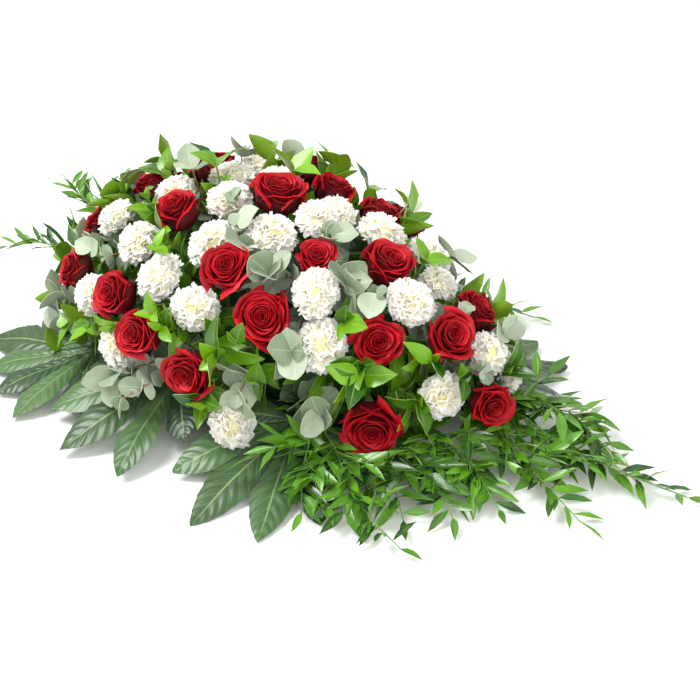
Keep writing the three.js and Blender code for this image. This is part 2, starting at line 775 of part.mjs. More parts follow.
function trailMesh(fork, spec, node, heads, taken, phase) {
  const stations = trailStations(spec.through, spec.leaves + 1);
  const right = [];
  const left = [];
  const ribEntry = ({ place, up, left: side, ahead }, hand, on) => ({
    point: step(place, side, hand * RIB_HALF).addScaledVector(ahead, on),
    up,
    half: RIB_HALF_THICK,
  });
  stations.forEach((station, k) => {
    const chain = k % 2 === 0 ? right : left;
    const hand = k % 2 === 0 ? -1 : 1;
    if (k === 0) {
      const ahead = station.place.clone().sub(fork).normalize();
      const up = vec(0, 0, 1).addScaledVector(ahead, -ahead.z).normalize();
      const root = { place: fork, ahead, up, left: up.clone().cross(ahead) };
      right.push({ at: -1, entries: [ribEntry(root, -1, 0)] });
      left.push({ at: -1, entries: [ribEntry(root, 1, 0)] });
    }
    if (k === 0 || k === stations.length - 1) {
      right.push({ at: k, entries: [ribEntry(station, -1, 0)] });
      left.push({ at: k, entries: [ribEntry(station, 1, 0)] });
      return;
    }
    const wave = 14 + 16 * Math.sin(2.1 * k + phase);
    const leaf = growLeaflet(spec, station, hand, wave, node, heads, taken);
    const entries = [ribEntry(station, hand, -1.6)];
    if (leaf) {
      const edges = BLADE_EDGES.narrow.map((edge) => edgeEntry(leaf, edge));
      entries.push(...(hand < 0 ? edges : edges.reverse()), ribEntry(station, hand, 1.6));
    }
    chain.push({ at: k, entries });
  });
  const tip = growLeaflet(spec, stations[stations.length - 1], 0, 0, node, heads, taken);
  return ribbon(right, left, tip ? BLADE_EDGES.narrow.map((edge) => edgeEntry(tip, edge)) : []);
}

// A ribbon from its two chains of rib points and leaflets, with a leaflet at its end.
function ribbon(right, left, tipEntries) {
  const patch = [];
  const faces = [];
  const ribs = { right: [], left: [] };
  // One chain's points, with the leaflets on it closed as fans
  const walk = (chain, name) => {
    for (const { at, entries } of chain) {
      const first = patch.length;
      patch.push(...entries);
      const last = patch.length - 1;
      for (let i = first + 1; i < last; i += 1) {
        faces.push([first, i, i + 1]);
      }
      ribs[name].push({ at: at - 0.1, index: first });
      if (last > first) {
        ribs[name].push({ at: at + 0.1, index: last });
      }
    }
  };
  walk(right, 'right');
  const tipFirst = patch.length - 1;
  patch.push(...tipEntries);
  const backward = [...left].reverse().map(({ at, entries }) => ({ at, entries: [...entries].reverse() }));
  const leftFirst = patch.length;
  walkBack(backward, patch, faces, ribs.left);
  for (let i = tipFirst + 1; i < leftFirst; i += 1) {
    faces.push([tipFirst, i, i + 1]);
  }
  zip(ribs.right, ribs.left.sort((a, b) => a.at - b.at), faces);
  return slab(patch, faces, patch.length);
}

// The left chain's points, from the end back to the start.
function walkBack(chain, patch, faces, rib) {
  for (const { at, entries } of chain) {
    const first = patch.length;
    patch.push(...entries);
    const last = patch.length - 1;
    for (let i = first + 1; i < last; i += 1) {
      faces.push([first, i, i + 1]);
    }
    rib.push({ at: at + 0.1, index: first });
    if (last > first) {
      rib.push({ at: at - 0.1, index: last });
    }
  }
}

// Triangles between two chains of rib points, taken in order along the rib.
function zip(right, left, faces) {
  let i = 0;
  let j = 0;
  while (i < right.length - 1 || j < left.length - 1) {
    const onRight = j === left.length - 1 || (i < right.length - 1 && right[i + 1].at <= left[j + 1].at);
    if (onRight) {
      faces.push([right[i].index, right[i + 1].index, left[j].index]);
      i += 1;
    } else {
      faces.push([right[i].index, left[j + 1].index, left[j].index]);
      j += 1;
    }
  }
}

// Aralia leaves on one low sheet

// How far out a place lies: 1 on the mound's footprint.
function reachOf(x, y) {
  const toTail = Math.max(0, x / MOUND_TO_TAIL);
  const halfWidth = MOUND_HALF_WIDTH * (1 - MOUND_TAPER * Math.min(1, toTail) ** 1.5);
  return Math.hypot(x / (x > 0 ? MOUND_TO_TAIL : MOUND_TO_HEAD), y / halfWidth);
}

const SHEET_REACH = 1.5;
const SHEET_RUN = 0.95;
const SHEET_LOW = 2;
const SHEET_RISE = 40;
const SHEET_STEP = 6.5;

function sheetPoint(x, y, layer, lift) {
  const slope = THREE.MathUtils.clamp((SHEET_REACH - reachOf(x, y)) / SHEET_RUN, 0, 1);
  return vec(x, y, SHEET_LOW + SHEET_RISE * slope ** 1.3 + SHEET_STEP * layer + lift);
}

const LOBE_HALF_WIDTH = 23;
const LOBE_WIDE = 0.95;
const LOBE_WAIST = 0.86;
const LOBE_APART = 0.93;
const LOBE_NOTCH = 24;
const OUTER_SECTOR = 28;

// A palmate leaf: lobes round one point, each raised along its rib and kept to its own sector.
function araliaMesh({ at, layer, lobes }) {
  const edge = [];
  const ribs = [];
  const halfAt = (out, share, sector) => (
    Math.min(share * LOBE_HALF_WIDTH, LOBE_APART * out * Math.tan(rad(sector)))
  );
  const place = (heading, out, across, lift) => {
    const [c, s] = [Math.cos(rad(heading)), Math.sin(rad(heading))];
    const point = sheetPoint(at[0] + out * c - across * s, at[1] + out * s + across * c, layer, lift);
    return { point, up: vec(0, 0, 1), half: BLADE / 2 };
  };
  lobes.forEach(([heading, length], k) => {
    const before = k > 0 ? (heading - lobes[k - 1][0]) / 2 : OUTER_SECTOR;
    const after = k + 1 < lobes.length ? (lobes[k + 1][0] - heading) / 2 : OUTER_SECTOR;
    const [near, far] = [0.46 * length, 0.7 * length];
    edge.push(place(heading - before, LOBE_NOTCH, 0, 0));
    edge.push(place(heading, near, -halfAt(near, LOBE_WAIST, before), 0.4));
    edge.push(place(heading, far, -halfAt(far, LOBE_WIDE, before), 0));
    edge.push(place(heading, length, 0, 0));
    edge.push(place(heading, far, halfAt(far, LOBE_WIDE, after), 0));
    edge.push(place(heading, near, halfAt(near, LOBE_WAIST, after), 0.4));
    ribs.push(place(heading, 0.56 * length, 0, 2.6));
  });
  edge.push(place(lobes[lobes.length - 1][0] + OUTER_SECTOR, LOBE_NOTCH, 0, 0));
  const heart = edge.length;
  const patch = [...edge, place(0, 0, 0, 2.2), ...ribs];
  const faces = [];
  lobes.forEach((_, k) => {
    const first = 6 * k;
    const rib = heart + 1 + k;
    faces.push([heart, first, rib]);
    for (let i = 0; i < 6; i += 1) {
      faces.push([first + i, first + i + 1, rib]);
    }
    faces.push([first + 6, heart, rib]);
  });
  faces.push([edge.length - 1, 0, heart]);
  return slab(patch, faces, edge.length);
}

// Tray and foam

// A rounded oblong at a height, as a ring of points.
function oblong(length, width, corner, z, arcSteps) {
  const points = [];
  [[1, 1, 0], [-1, 1, 90], [-1, -1, 180], [1, -1, 270]].forEach(([sx, sy, from]) => {
    for (let i = 0; i <= arcSteps; i += 1) {
      const angle = rad(from + (90 * i) / arcSteps);
      points.push(vec(
        sx * (length / 2 - corner) + corner * Math.cos(angle),
        sy * (width / 2 - corner) + corner * Math.sin(angle),
        z,
      ));
    }
  });
  return points;
}

function trayMesh() {
  const at = (inset, z) => (
    oblong(TRAY_LENGTH - 2 * inset, TRAY_WIDTH - 2 * inset, TRAY_CORNER - 0.5 * inset, z, 2)
  );
  return skin([
    [vec(0, 0, 0)],
    at(TRAY_DRAFT, 0),
    at(0, TRAY_HEIGHT),
    at(TRAY_WALL, TRAY_HEIGHT),
    at(TRAY_DRAFT + TRAY_WALL, TRAY_WALL),
    [vec(0, 0, TRAY_WALL)],
  ]);
}

function foamSolid(stems) {
  const at = (inset, z) => oblong(FOAM_LENGTH - 2 * inset, FOAM_WIDTH - 2 * inset, FOAM_CORNER, z, 2);
  const block = toSolid(toGeometry(skin([
    [vec(0, 0, FOAM_BOTTOM)],
    at(0, FOAM_BOTTOM),
    at(0, FOAM_SHOULDER),
    at(FOAM_BEVEL, FOAM_SHOULDER + FOAM_BEVEL_RISE),
    at(FOAM_BEVEL + FOAM_CROWN, FOAM_TOP),
    [vec(0, 0, FOAM_TOP)],
  ])));
  const holes = stems.map(({ start, end, radius }) => {
    const along = end.clone().sub(start).normalize();
    const wide = (radius + HOLE_CLEARANCE) / Math.cos(Math.PI / HOLE_SIDES);
    const mouth = start.clone();
    while (insideFoam(mouth, -9)) {
      mouth.addScaledVector(along, 3);
    }
    return toSolid(toGeometry(rod([step(start, along, -0.8), mouth], wide, HOLE_SIDES)));
  });
  const cut = block.subtract(wasm.Manifold.union(holes));
  return cut.decompose().sort((a, b) => b.volume() - a.volume())[0];
}

// Planting

const heads = [];
const roses = ROSES.map((row) => makeHead(row, ROSE_STEM));
const carnations = CARNATION_GROUPS.map((group) => group.map((row) => makeHead(row, CARNATION_STEM)));
heads.push(...roses, ...carnations.flat());
spreadHeads(heads);

const stems = [];
for (const rose of roses) {
  rose.foot = footFor(rose.centre);
  stems.push({ start: rose.foot, end: rose.neck, radius: ROSE_STEM, rooted: true });
}
carnations.forEach((group, k) => {
  const targets = group.map((head) => ({ end: head.neck, head }));
  group.root = findFork(targets, CARNATION_STEM, heads, stems, 'carnations ' + (k + 1));
});

const materials = {
  rose: new THREE.MeshStandardMaterial({ color: 0xa31222, roughness: 0.62, metalness: 0 }),
  carnation: new THREE.MeshStandardMaterial({ color: 0xf3efe2, roughness: 0.7, metalness: 0 }),
  eucalyptus: new THREE.MeshStandardMaterial({ color: 0x9fb3a2, roughness: 0.66, metalness: 0 }),
  broad_ruscus: new THREE.MeshStandardMaterial({ color: 0x4f8a2c, roughness: 0.36, metalness: 0 }),
  italian_ruscus: new THREE.MeshStandardMaterial({ color: 0x4d8034, roughness: 0.42, metalness: 0 }),
  aralia: new THREE.MeshStandardMaterial({ color: 0x2f5236, roughness: 0.34, metalness: 0 }),
  foam: new THREE.MeshStandardMaterial({ color: 0x2f5a3a, roughness: 0.95, metalness: 0 }),
  tray: new THREE.MeshStandardMaterial({ color: 0x1c2a1f, roughness: 0.5, metalness: 0 }),
};

const arrangement = new THREE.Group();
arrangement.name = 'funeral_arrangement';

function addPiece(name, geometry, material) {
  geometry.computeVertexNormals();
  const mesh = new THREE.Mesh(geometry, material);
  mesh.name = name;
  arrangement.add(mesh);
}

const numbered = (name, k) => name + '_' + String(k + 1).padStart(2, '0');

addPiece('tray', toGeometry(trayMesh()), materials.tray);

roses.forEach((rose, k) => {
  const far = k >= FIRST_FAR_ROSE;
  const skinned = headSkin(rose, rose.foot, 0.7 * k, far ? FAR_ROSE_RIMS : ROSE_RIMS, far ? 0.8 : 0.42);
  addPiece(numbered('rose', k), toGeometry(skinned), materials.rose);
});

carnations.forEach((group, k) => {
  const { foot, fork } = group.root;
  const meshes = [stubRod(foot, fork)];
  group.forEach((head, i) => {
    meshes.push(headSkin(head, fork, 0.9 * k + 0.4 * i, CARNATION_RIMS, 0.96));
  });
  addPiece(numbered('carnations', k), fromSolid(fuse(meshes)), materials.carnation);
});

// Samples of what stands already, which later leaves keep clear of
const taken = [];

function takeSegment(node, start, end, gap) {
  const count = Math.max(2, Math.ceil(start.distanceTo(end) / 6));
  for (let i = 0; i <= count; i += 1) {
    taken.push({ node, point: start.clone().lerp(end, i / count), gap });
  }
}

ARALIA.forEach((spec, k) => {
  const name = numbered('aralia', k);
  const blade = araliaMesh(spec);
  const heart = sheetPoint(spec.at[0], spec.at[1], spec.layer, 2.2);
  const bend = vec(0.95 * spec.at[0], 0.93 * spec.at[1], heart.z + 3);
  const foot = vec(0.5 * spec.at[0], 0.42 * spec.at[1], 47);
  stems.push({ start: foot, end: bend, radius: 2.0, rooted: true });
  const petiole = rod([foot, bend, step(heart, vec(0, 0, 1), -0.2)], 2.0, 4);
  addPiece(name, fromSolid(fuse([blade, petiole])), materials.aralia);
  takeSegment(name, bend, heart, 8);
  spec.lobes.forEach(([heading, length]) => {
    for (let out = 0.1; out <= 1; out += 0.12) {
      for (const across of [-15, 0, 15]) {
        const x = spec.at[0] + out * length * Math.cos(rad(heading)) - across * Math.sin(rad(heading));
        const y = spec.at[1] + out * length * Math.sin(rad(heading)) + across * Math.cos(rad(heading));
        taken.push({ node: name, point: sheetPoint(x, y, spec.layer, 1), gap: 7 });
      }
    }
  });
});

const gates = [];

function plantSprigs(plan, kindName) {
  plan.forEach((rows, k) => {
    const name = numbered(kindName, k);
    const sprigs = rows.map((row) => makeSprig(row, heads, gates));
    const targets = sprigs.map((sprig) => ({ end: sprig.gate, head: null }));
    const { foot, fork } = findFork(targets, TWIG, heads, stems, name);
    const meshes = [stubRod(foot, fork)];
    for (const sprig of sprigs) {
      takeSegment(name, sprig.gate, sprig.end, 6);
    }
    sprigs.forEach((sprig, i) => {
      const leaves = sprigLeaves(sprig, kindName, name, heads, taken, 53 * i + 31 * k);
      if (leaves.length > 1) {
        meshes.push(whorlMesh(fork, sprig.gate, sprig.end, sprig.aim, leaves));
      }
    });
    addPiece(name, fromSolid(fuse(meshes)), materials[kindName]);
  });
}

plantSprigs(EUCALYPTUS, 'eucalyptus');
plantSprigs(BROAD_RUSCUS, 'broad_ruscus');

ITALIAN_RUSCUS.forEach((trails, k) => {
  const name = numbered('italian_ruscus', k);
  const targets = trails.map((trail) => ({ end: vec(...trail.through[0]), head: null }));
  const { foot, fork } = findFork(targets, TWIG, heads, stems, name);
  const meshes = [stubRod(foot, fork)];
  trails.forEach((trail, i) => {
    meshes.push(trailMesh(fork, trail, name, heads, taken, 40 * i));
    for (const station of trailStations(trail.through, 2 * trail.leaves)) {
      taken.push({ node: name, point: station.place, gap: 6 });
    }
  });
  addPiece(name, fromSolid(fuse(meshes)), materials.italian_ruscus);
});

const rooted = stems.filter((stem) => stem.rooted);
addPiece('foam', fromSolid(foamSolid(rooted)), materials.foam);

export default arrangement;
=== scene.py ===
"""A funeral arrangement of red roses and white carnations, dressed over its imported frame.

Units in this file are millimetres until a mesh is written, and the frame is the part's own: origin
under the middle of the tray, +X to the trailing end, -Y the near side, +Z up. Every bloom and leaf
is placed by the same planting rule as its solid, and then given its petals, veins and finish.
"""

from __future__ import annotations

import logging
import math
from dataclasses import dataclass, field, replace
from enum import Enum
from functools import partial
from typing import Sequence, Union

import bpy
import numpy as np
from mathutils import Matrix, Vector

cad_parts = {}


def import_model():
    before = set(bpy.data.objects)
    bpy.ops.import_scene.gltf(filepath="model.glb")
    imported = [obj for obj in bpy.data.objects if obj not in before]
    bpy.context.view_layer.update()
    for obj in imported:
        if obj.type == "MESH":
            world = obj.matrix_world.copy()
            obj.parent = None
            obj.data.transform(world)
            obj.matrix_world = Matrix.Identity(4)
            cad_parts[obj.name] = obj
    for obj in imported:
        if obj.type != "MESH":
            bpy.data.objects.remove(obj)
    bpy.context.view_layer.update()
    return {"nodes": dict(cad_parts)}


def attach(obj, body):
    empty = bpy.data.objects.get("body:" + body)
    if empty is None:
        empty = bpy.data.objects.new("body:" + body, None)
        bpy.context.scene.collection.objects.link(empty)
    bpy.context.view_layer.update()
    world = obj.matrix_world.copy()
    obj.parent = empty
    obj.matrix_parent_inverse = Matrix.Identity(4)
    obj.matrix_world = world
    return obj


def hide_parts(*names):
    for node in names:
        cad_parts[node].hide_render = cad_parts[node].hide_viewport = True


log = logging.getLogger("arrangement")

Array = np.ndarray
Piece = bpy.types.Object
Material = bpy.types.Material
Tree = bpy.types.NodeTree
Socket = bpy.types.NodeSocket
Value = Union[Socket, float, Sequence[float]]
Stops = tuple[tuple[float, str], ...]

TO_METRES = 0.001
GOLDEN_TURN = math.radians(137.5)
# The span of chance phases and turns: about a full turn, in radians
PHASE_SPAN = 6.28


# Vector helpers


def unit(vector: Array) -> Array:
    """Vectors over their own lengths, along the last axis."""
    return vector / np.maximum(np.linalg.norm(vector, axis=-1, keepdims=True), 1e-9)


def vec(*values: float) -> Array:
    """A float array of the values."""
    return np.array(values, float)


def cross_axes(axis: Array) -> tuple[Array, Array]:
    """Two directions square to an axis, as the solids use them.

    Args:
        axis: a unit direction.

    Returns:
        The two directions, which with the axis make a right-handed set.
    """
    side = vec(0, 0, 1) if abs(axis[2]) < 0.9 else vec(1, 0, 0)
    u = unit(np.cross(side, axis))
    return u, np.cross(axis, u)


def placed(origin: Array | int, *parts: tuple[Array, Array]) -> Array:
    """The origin moved along each direction, by another number for every place."""
    return sum((way * far[..., None] for way, far in parts), origin)


def cos_sin(degrees: float) -> tuple[float, float]:
    """The cosine and the sine of an angle in degrees."""
    return math.cos(math.radians(degrees)), math.sin(math.radians(degrees))


def round_axis(axis: Array, turn: Array) -> tuple[Array, Array]:
    """Directions at turns round an axis: outward, and sideways from there.

    Args:
        axis: a unit direction.
        turn: the turns in radians.

    Returns:
        Both directions for each turn, along a new last axis.
    """
    u, v = cross_axes(axis)
    c, s = np.cos(turn)[..., None], np.sin(turn)[..., None]
    return u * c + v * s, v * c - u * s


def nearest_on_segments(point: Array, start: Array, end: Array) -> Array:
    """The point of each segment nearest to its point, by a clamped projection.

    Args:
        point: points, one a row.
        start: starts of the segments, broadcast with the points.
        end: ends of the segments.

    Returns:
        The nearest points, one a row.
    """
    along = end - start
    share = np.sum((point - start) * along, axis=-1) / np.sum(along * along, axis=-1)
    return start + np.clip(share, 0, 1)[..., None] * along


# Sizes shared with the solids


@dataclass(frozen=True)
class Mound:
    """The teardrop mound that the blooms are spread over."""

    top: float = 258
    rim: float = 60
    to_head: float = 278
    to_tail: float = 325
    half_width: float = 208
    taper: float = 0.42
    tail_drop: float = 45
    head_drop: float = 18

    def point(self, heading: float, climb: float) -> Array:
        """The point of the surface at a heading and a climb in degrees.

        A half ellipsoid whose two halves differ in length, with its width and height falling
        towards the tail by a power and by a straight line.

        Args:
            heading: the way round in degrees, from +X.
            climb: the way up in degrees.

        Returns:
            The point.
        """
        level = math.cos(math.radians(climb))
        toward = math.cos(math.radians(heading))
        x = (self.to_tail if toward > 0 else self.to_head) * level * toward
        to_tail = max(0.0, x / self.to_tail)
        to_head = max(0.0, -x / self.to_head)
        half = self.half_width * (1 - self.taper * to_tail**1.5)
        rise = self.top - self.tail_drop * to_tail - self.head_drop * to_head - self.rim
        y = half * level * math.sin(math.radians(heading))
        return vec(x, y, self.rim + rise * math.sin(math.radians(climb)))

    def normal(self, heading: float, climb: float) -> Array:
        """The outward normal, by differences over a degree."""
        across = self.point(heading + 0.5, climb) - self.point(heading - 0.5, climb)
        along = self.point(heading, climb + 0.5) - self.point(heading, climb - 0.5)
        return unit(np.cross(across, along))

    def reach(self, x: Array, y: Array) -> Array:
        """How far out places lie: 1 on the mound's footprint.

        Args:
            x: their places along.
            y: their places across.

        Returns:
            Shares of the footprint's reach.
        """
        to_tail = np.clip(x / self.to_tail, 0, 1)
        half = self.half_width * (1 - self.taper * to_tail**1.5)
        return np.hypot(x / np.where(x > 0, self.to_tail, self.to_head), y / half)


@dataclass(frozen=True)
class FoamBlock:
    """The shaved block of wet foam, and which places lie inside it."""

    length: float = 310
    width: float = 158
    bottom: float = 2.5
    shoulder: float = 84
    bevel: float = 22
    bevel_rise: float = 38
    crown: float = 28
    crown_rise: float = 24

    @property
    def top(self) -> float:
        """The height of the block's top."""
        return self.shoulder + self.bevel_rise + self.crown_rise

    def holds(self, points: Array, depth: float) -> Array:
        """Whether points are at least a depth inside: each flank drawn in by its bevels.

        Args:
            points: points, one a row.
            depth: the least depth.

        Returns:
            True for each that is.
        """
        z = points[..., 2] + depth
        low = np.clip((z - self.shoulder) / self.bevel_rise, 0, 1)
        high = np.clip((z - self.shoulder - self.bevel_rise) / self.crown_rise, 0, 1)
        inset = self.bevel * low + self.crown * high + depth
        return (
            (np.abs(points[..., 0]) < self.length / 2 - inset)
            & (np.abs(points[..., 1]) < self.width / 2 - inset)
            & (points[..., 2] > self.bottom + depth)
            & (points[..., 2] < self.top - depth)
        )


@dataclass(frozen=True)
class TraySize:
    """The outer size of the tray."""

    length: float = 340
    width: float = 188
    height: float = 32


MOUND = Mound()
FOAM = FoamBlock()
TRAY = TraySize()

HEAD_SEAT = 18.0
SPRIG_SEAT = 11.0
HEAD_GAP = 2.0
ROSE_STEM = 2.4
CARNATION_STEM = 2.0
TWIG = 1.3
STUB = 3.0
PAST_FORK = 2
RIB_HALF = 1.2
GROUND_CLEAR = 1.2

# A stem's foot in the foam: shares of its bloom's place, and the level that its height nears
FOOT_ALONG = 0.4
FOOT_ACROSS = 0.34
FOOT_LEVEL = 45

# Gaps that leaves keep to others' leaves, twigs and stalks, the square of the gap in a whorl, and
# the margins to a bloom that planted and added leaves keep
LEAF_GAP = 7
TWIG_GAP = 6
STALK_GAP = 8
SIBLING_SQUARE = 30
HEAD_MARGIN = 1.6
LOOSE_MARGIN = 0.4

# Gates of the twigs: how far below them heads are looked for, their spacing and the nudge's share
GATE_DEPTH = 22
GATE_GAP = 7
NUDGE = 0.6

# What is tried in turn until a leaf is clear: shares of its size, then rises and swings in degrees
LEAF_SCALES = (1, 0.82, 0.66, 0.5)
LEAF_SWINGS = (0, 12, -12, 24, -24)
LEAF_RISE = 8
STEEPEST_LEAF = 80.001
LEAFLET_SCALES = (1, 0.8, 0.62)
LEAFLET_SPREADS = (46, 32, 60, 20)
LEAFLET_RISES = (0, 14, -14, 28, 44, 60)
TIP_RISES = (0, 14, 28)

# Planting plan: heading, climb, lift and width of each head

ROSES = (
    (146, 63, 0, 56), (180, 55, 0, 54), (233, 64, 0, 56), (192, 37, -3, 52), (216, 25, 0, 50),
    (245, 30, 2, 56), (259, 22, 4, 56), (274, 14, 0, 56), (280, 50, 15, 58), (290, 38, 0, 66),
    (321, 83, 4, 62), (315, 62, -4, 46), (65, 67, -4, 52), (53, 56, -4, 52), (350, 57, -2, 60),
    (317, 32, -2, 56), (310, 0, 4, 68), (341, 32, 8, 58), (14, 34, 0, 50), (344, 4, 0, 52),
    (92, 58, 0, 56), (112, 36, 0, 56), (66, 36, 0, 56), (150, 34, 0, 54), (86, 10, 0, 56),
    (136, 10, 0, 54), (36, 18, 0, 54), (176, 10, 0, 52),
)  # fmt: skip

CARNATION_GROUPS = (
    ((232, 49, -1, 52), (255, 42, 2, 52), (232, 24, 0, 48)),
    ((197, 65, 2, 50), (204, 46, 5, 46), (156, 76, 0, 52)),
    ((232, 79, -5, 52), (266, 60, -6, 54), (295, 67, 9, 52)),
    ((271, 36, -6, 52), (249, 12, -5, 50), (283, -2, 12, 52)),
    ((306, 48, 15, 52), (303, 31, 2, 56), (333, 73, 13, 48)),
    ((337, 45, 16, 52), (328, 9, 1, 52), (358, 23, 2, 48)),
    ((26, 73, -3, 48), (25, 62, 2, 52), (87, 80, -5, 48)),
    ((14, 46, 0, 44), (42, 42, 0, 52), (17, 6, 0, 48)),
    ((117, 57, 1, 52), (134, 38, 0, 52), (160, 14, 0, 50)),
    ((90, 36, 0, 52), (60, 12, 0, 52), (112, 10, 0, 52)),
)

# Sprigs of each branch: heading, climb, leaves, leaf length and rise above the mound

EUCALYPTUS = (
    ((205, 34, 4, 28, 6), (222, 36, 3, 30, 4), (190, 70, 3, 34, 12), (168, 26, 3, 38, 8)),
    ((262, 76, 4, 36, 4), (276, 66, 3, 36, 2), (284, 60, 4, 42, 4), (285, 12, 5, 46, 12),
     (262, 4, 5, 28, 30)),
    ((292, 52, 4, 42, 4), (325, 66, 4, 44, 6), (318, 52, 4, 46, 4), (326, 48, 3, 40, 6),
     (296, 28, 5, 44, 8)),
    ((344, 18, 4, 34, 8), (0, 38, 3, 38, 4), (5, 24, 3, 34, 6)),
    ((76, 24, 3, 44, 6), (50, 30, 3, 42, 6), (128, 62, 3, 40, 6), (100, 46, 3, 42, 4),
     (122, 24, 3, 44, 6)),
)

BROAD_RUSCUS = (
    ((188, 48, 4, 48, 12), (205, 58, 4, 42, 6), (224, 60, 3, 42, 4), (170, 78, 3, 46, 14),
     (150, 22, 3, 52, 6)),
    ((245, 55, 4, 44, 4), (250, 50, 3, 40, 6), (262, 30, 4, 50, 4), (252, 22, 3, 48, 4),
     (280, 22, 4, 60, 4)),
    ((284, 28, 4, 50, 4), (296, 20, 4, 52, 2), (309, 20, 4, 52, 2)),
    ((330, 38, 4, 46, 4), (330, 26, 4, 44, 4), (350, 70, 4, 44, 4), (310, 38, 4, 48, 4),
     (8, 52, 3, 44, 10)),
    ((60, 84, 4, 52, 12), (140, 50, 3, 52, 6), (110, 68, 3, 50, 8), (70, 50, 3, 52, 4),
     (100, 22, 3, 54, 6)),
)

# Trailing stems: the points that each runs through, then the number and length of its leaves

ITALIAN_RUSCUS = (
    ((((284, -4, 38), (350, -4, 32), (420, -8, 20), (528, -4, 8)), 19, 42),
     (((276, -24, 34), (340, -40, 27), (392, -70, 17), (446, -100, 8)), 14, 44),
     (((286, 12, 46), (340, 24, 50), (390, 22, 40), (432, 10, 26)), 12, 44)),
    ((((250, -66, 34), (300, -80, 28), (364, -126, 10)), 12, 44),
     (((236, -92, 30), (280, -118, 25), (328, -162, 10)), 11, 44),
     (((214, -114, 26), (246, -146, 23), (286, -192, 10)), 10, 44)),
    ((((176, -146, 36), (216, -184, 28), (258, -212, 16), (304, -232, 8)), 12, 42),
     (((150, -156, 40), (168, -200, 30), (190, -238, 14)), 8, 40)),
    ((((-244, 0, 152), (-276, 8, 160), (-300, 16, 172)), 7, 32),
     (((-262, -40, 110), (-296, -56, 118), (-322, -78, 116)), 7, 32),
     (((-60, 212, 60), (-80, 262, 40), (-110, 300, 14)), 7, 38),
     (((120, 186, 50), (170, 226, 30), (230, 252, 10)), 8, 38)),
)

# Large leaves: the point where the lobes meet, the layer, and the heading and length of each lobe

ARALIA = (
    ((-176, -108), 0, ((156, 128), (186, 150), (212, 128), (238, 124), (262, 136), (292, 108))),
    ((-44, -122), 1, ((196, 122), (222, 150), (250, 162), (278, 160), (306, 104), (334, 90))),
    ((112, -118), 0, ((206, 90), (236, 150), (262, 184), (288, 180), (312, 150), (340, 120))),
    ((214, 70), 1, ((-16, 110), (14, 128), (44, 140), (72, 140), (100, 120), (128, 90))),
    ((64, 124), 0, ((24, 110), (52, 140), (80, 164), (108, 156), (136, 130), (164, 100))),
    ((-138, 116), 1, ((52, 90), (84, 130), (114, 152), (144, 152), (172, 136), (200, 104))),
)


class BladeForm(Enum):
    """Outlines of a leaf blade: half its width along it, as a share of its widest."""

    OVATE = "ovate"
    ROUND = "round"
    NARROW = "narrow"

    def share(self, t: Array) -> Array:
        """The half width at shares of the length: a sine of a power, or a half circle.

        Args:
            t: shares of the length.

        Returns:
            Half widths as shares of the widest.
        """
        t = np.clip(t, 0, 1)
        if self is BladeForm.ROUND:
            return np.sqrt(np.clip(1 - (2 * t - 1) ** 2, 0, None))
        return np.sin(math.pi * t ** (0.8 if self is BladeForm.OVATE else 0.9))

    def drawn(self, t: Array, point: Array) -> Array:
        """The half width as it is drawn, with each leaf's own tip.

        A round blade is a flattened circle whose outer half is raised to a power, which draws
        its tip to a point. The others are the sine that the solids have, a little fuller.

        Args:
            t: shares of the length.
            point: each leaf's power, from 0.5 for a blunt tip to 1 for a sharp one.

        Returns:
            The half width as a share of its widest.
        """
        if self is BladeForm.ROUND:
            flat = np.clip(1 - np.abs(2 * t**0.93 - 1) ** 2.1, 0, None)
            return flat ** np.where(t > 0.5, point, 0.55)
        fullness = (0.55 if self is BladeForm.OVATE else 0.75) + 0.35 * point
        return np.clip(self.share(t), 0, None) ** fullness


@dataclass(frozen=True)
class LeafKind:
    """How the leaves of one kind of greenery are shaped and held."""

    form: BladeForm
    width: float
    arch: float
    fold: float
    lift: float


KINDS = {
    "eucalyptus": LeafKind(BladeForm.ROUND, 0.44, 0.06, 0.12, 20),
    "broad_ruscus": LeafKind(BladeForm.OVATE, 0.27, 0.16, 0.22, 26),
    "italian_ruscus": LeafKind(BladeForm.NARROW, 0.17, 0.1, 0.2, 30),
}


# How far the leaves of a whorl stand up past their kind's lift, in degrees
WHORL_RAISES = (0, 32, 12, 46)

# How far a drawn leaf may swing, nod and roll from the way its solid lies, and the sizes tried
LOOSE_TURNS = np.radians((24, 14, 34))
LOOSE_SIZES = (1.0, 1.0, 1.0, 1.0, 0.84, 0.7, 0.56)

# The way from the arrangement to whoever looks at it, and how much of a bloom's radius is kept free
FRONT_WAY = unit(vec(0.42, -0.73, 0.53))
FACE_SHARE = 0.66

# Short sprigs that fill the mound's foot and stand up behind its crown: rings of first and last
# heading, step and climbs in degrees with the sprigs' rise, and the lengths of their leaves
FILL_RINGS = (
    (0, 360, 12, (16, 4, 26, 9), 0),
    (20, 222, 11, (-9, -3, -6), 0),
    (52, 200, 13, (50, 38, 60, 44), 12),
)
FILL_LENGTHS = {"eucalyptus": 38.0, "broad_ruscus": 46.0}


@dataclass
class Head:
    """One bloom: its centre, the way it faces, its radius and the foot of its stem."""

    centre: Array
    aim: Array
    radius: float
    neck: Array = field(default_factory=lambda: vec(0, 0, 0))
    foot: Array = field(default_factory=lambda: vec(0, 0, 0))


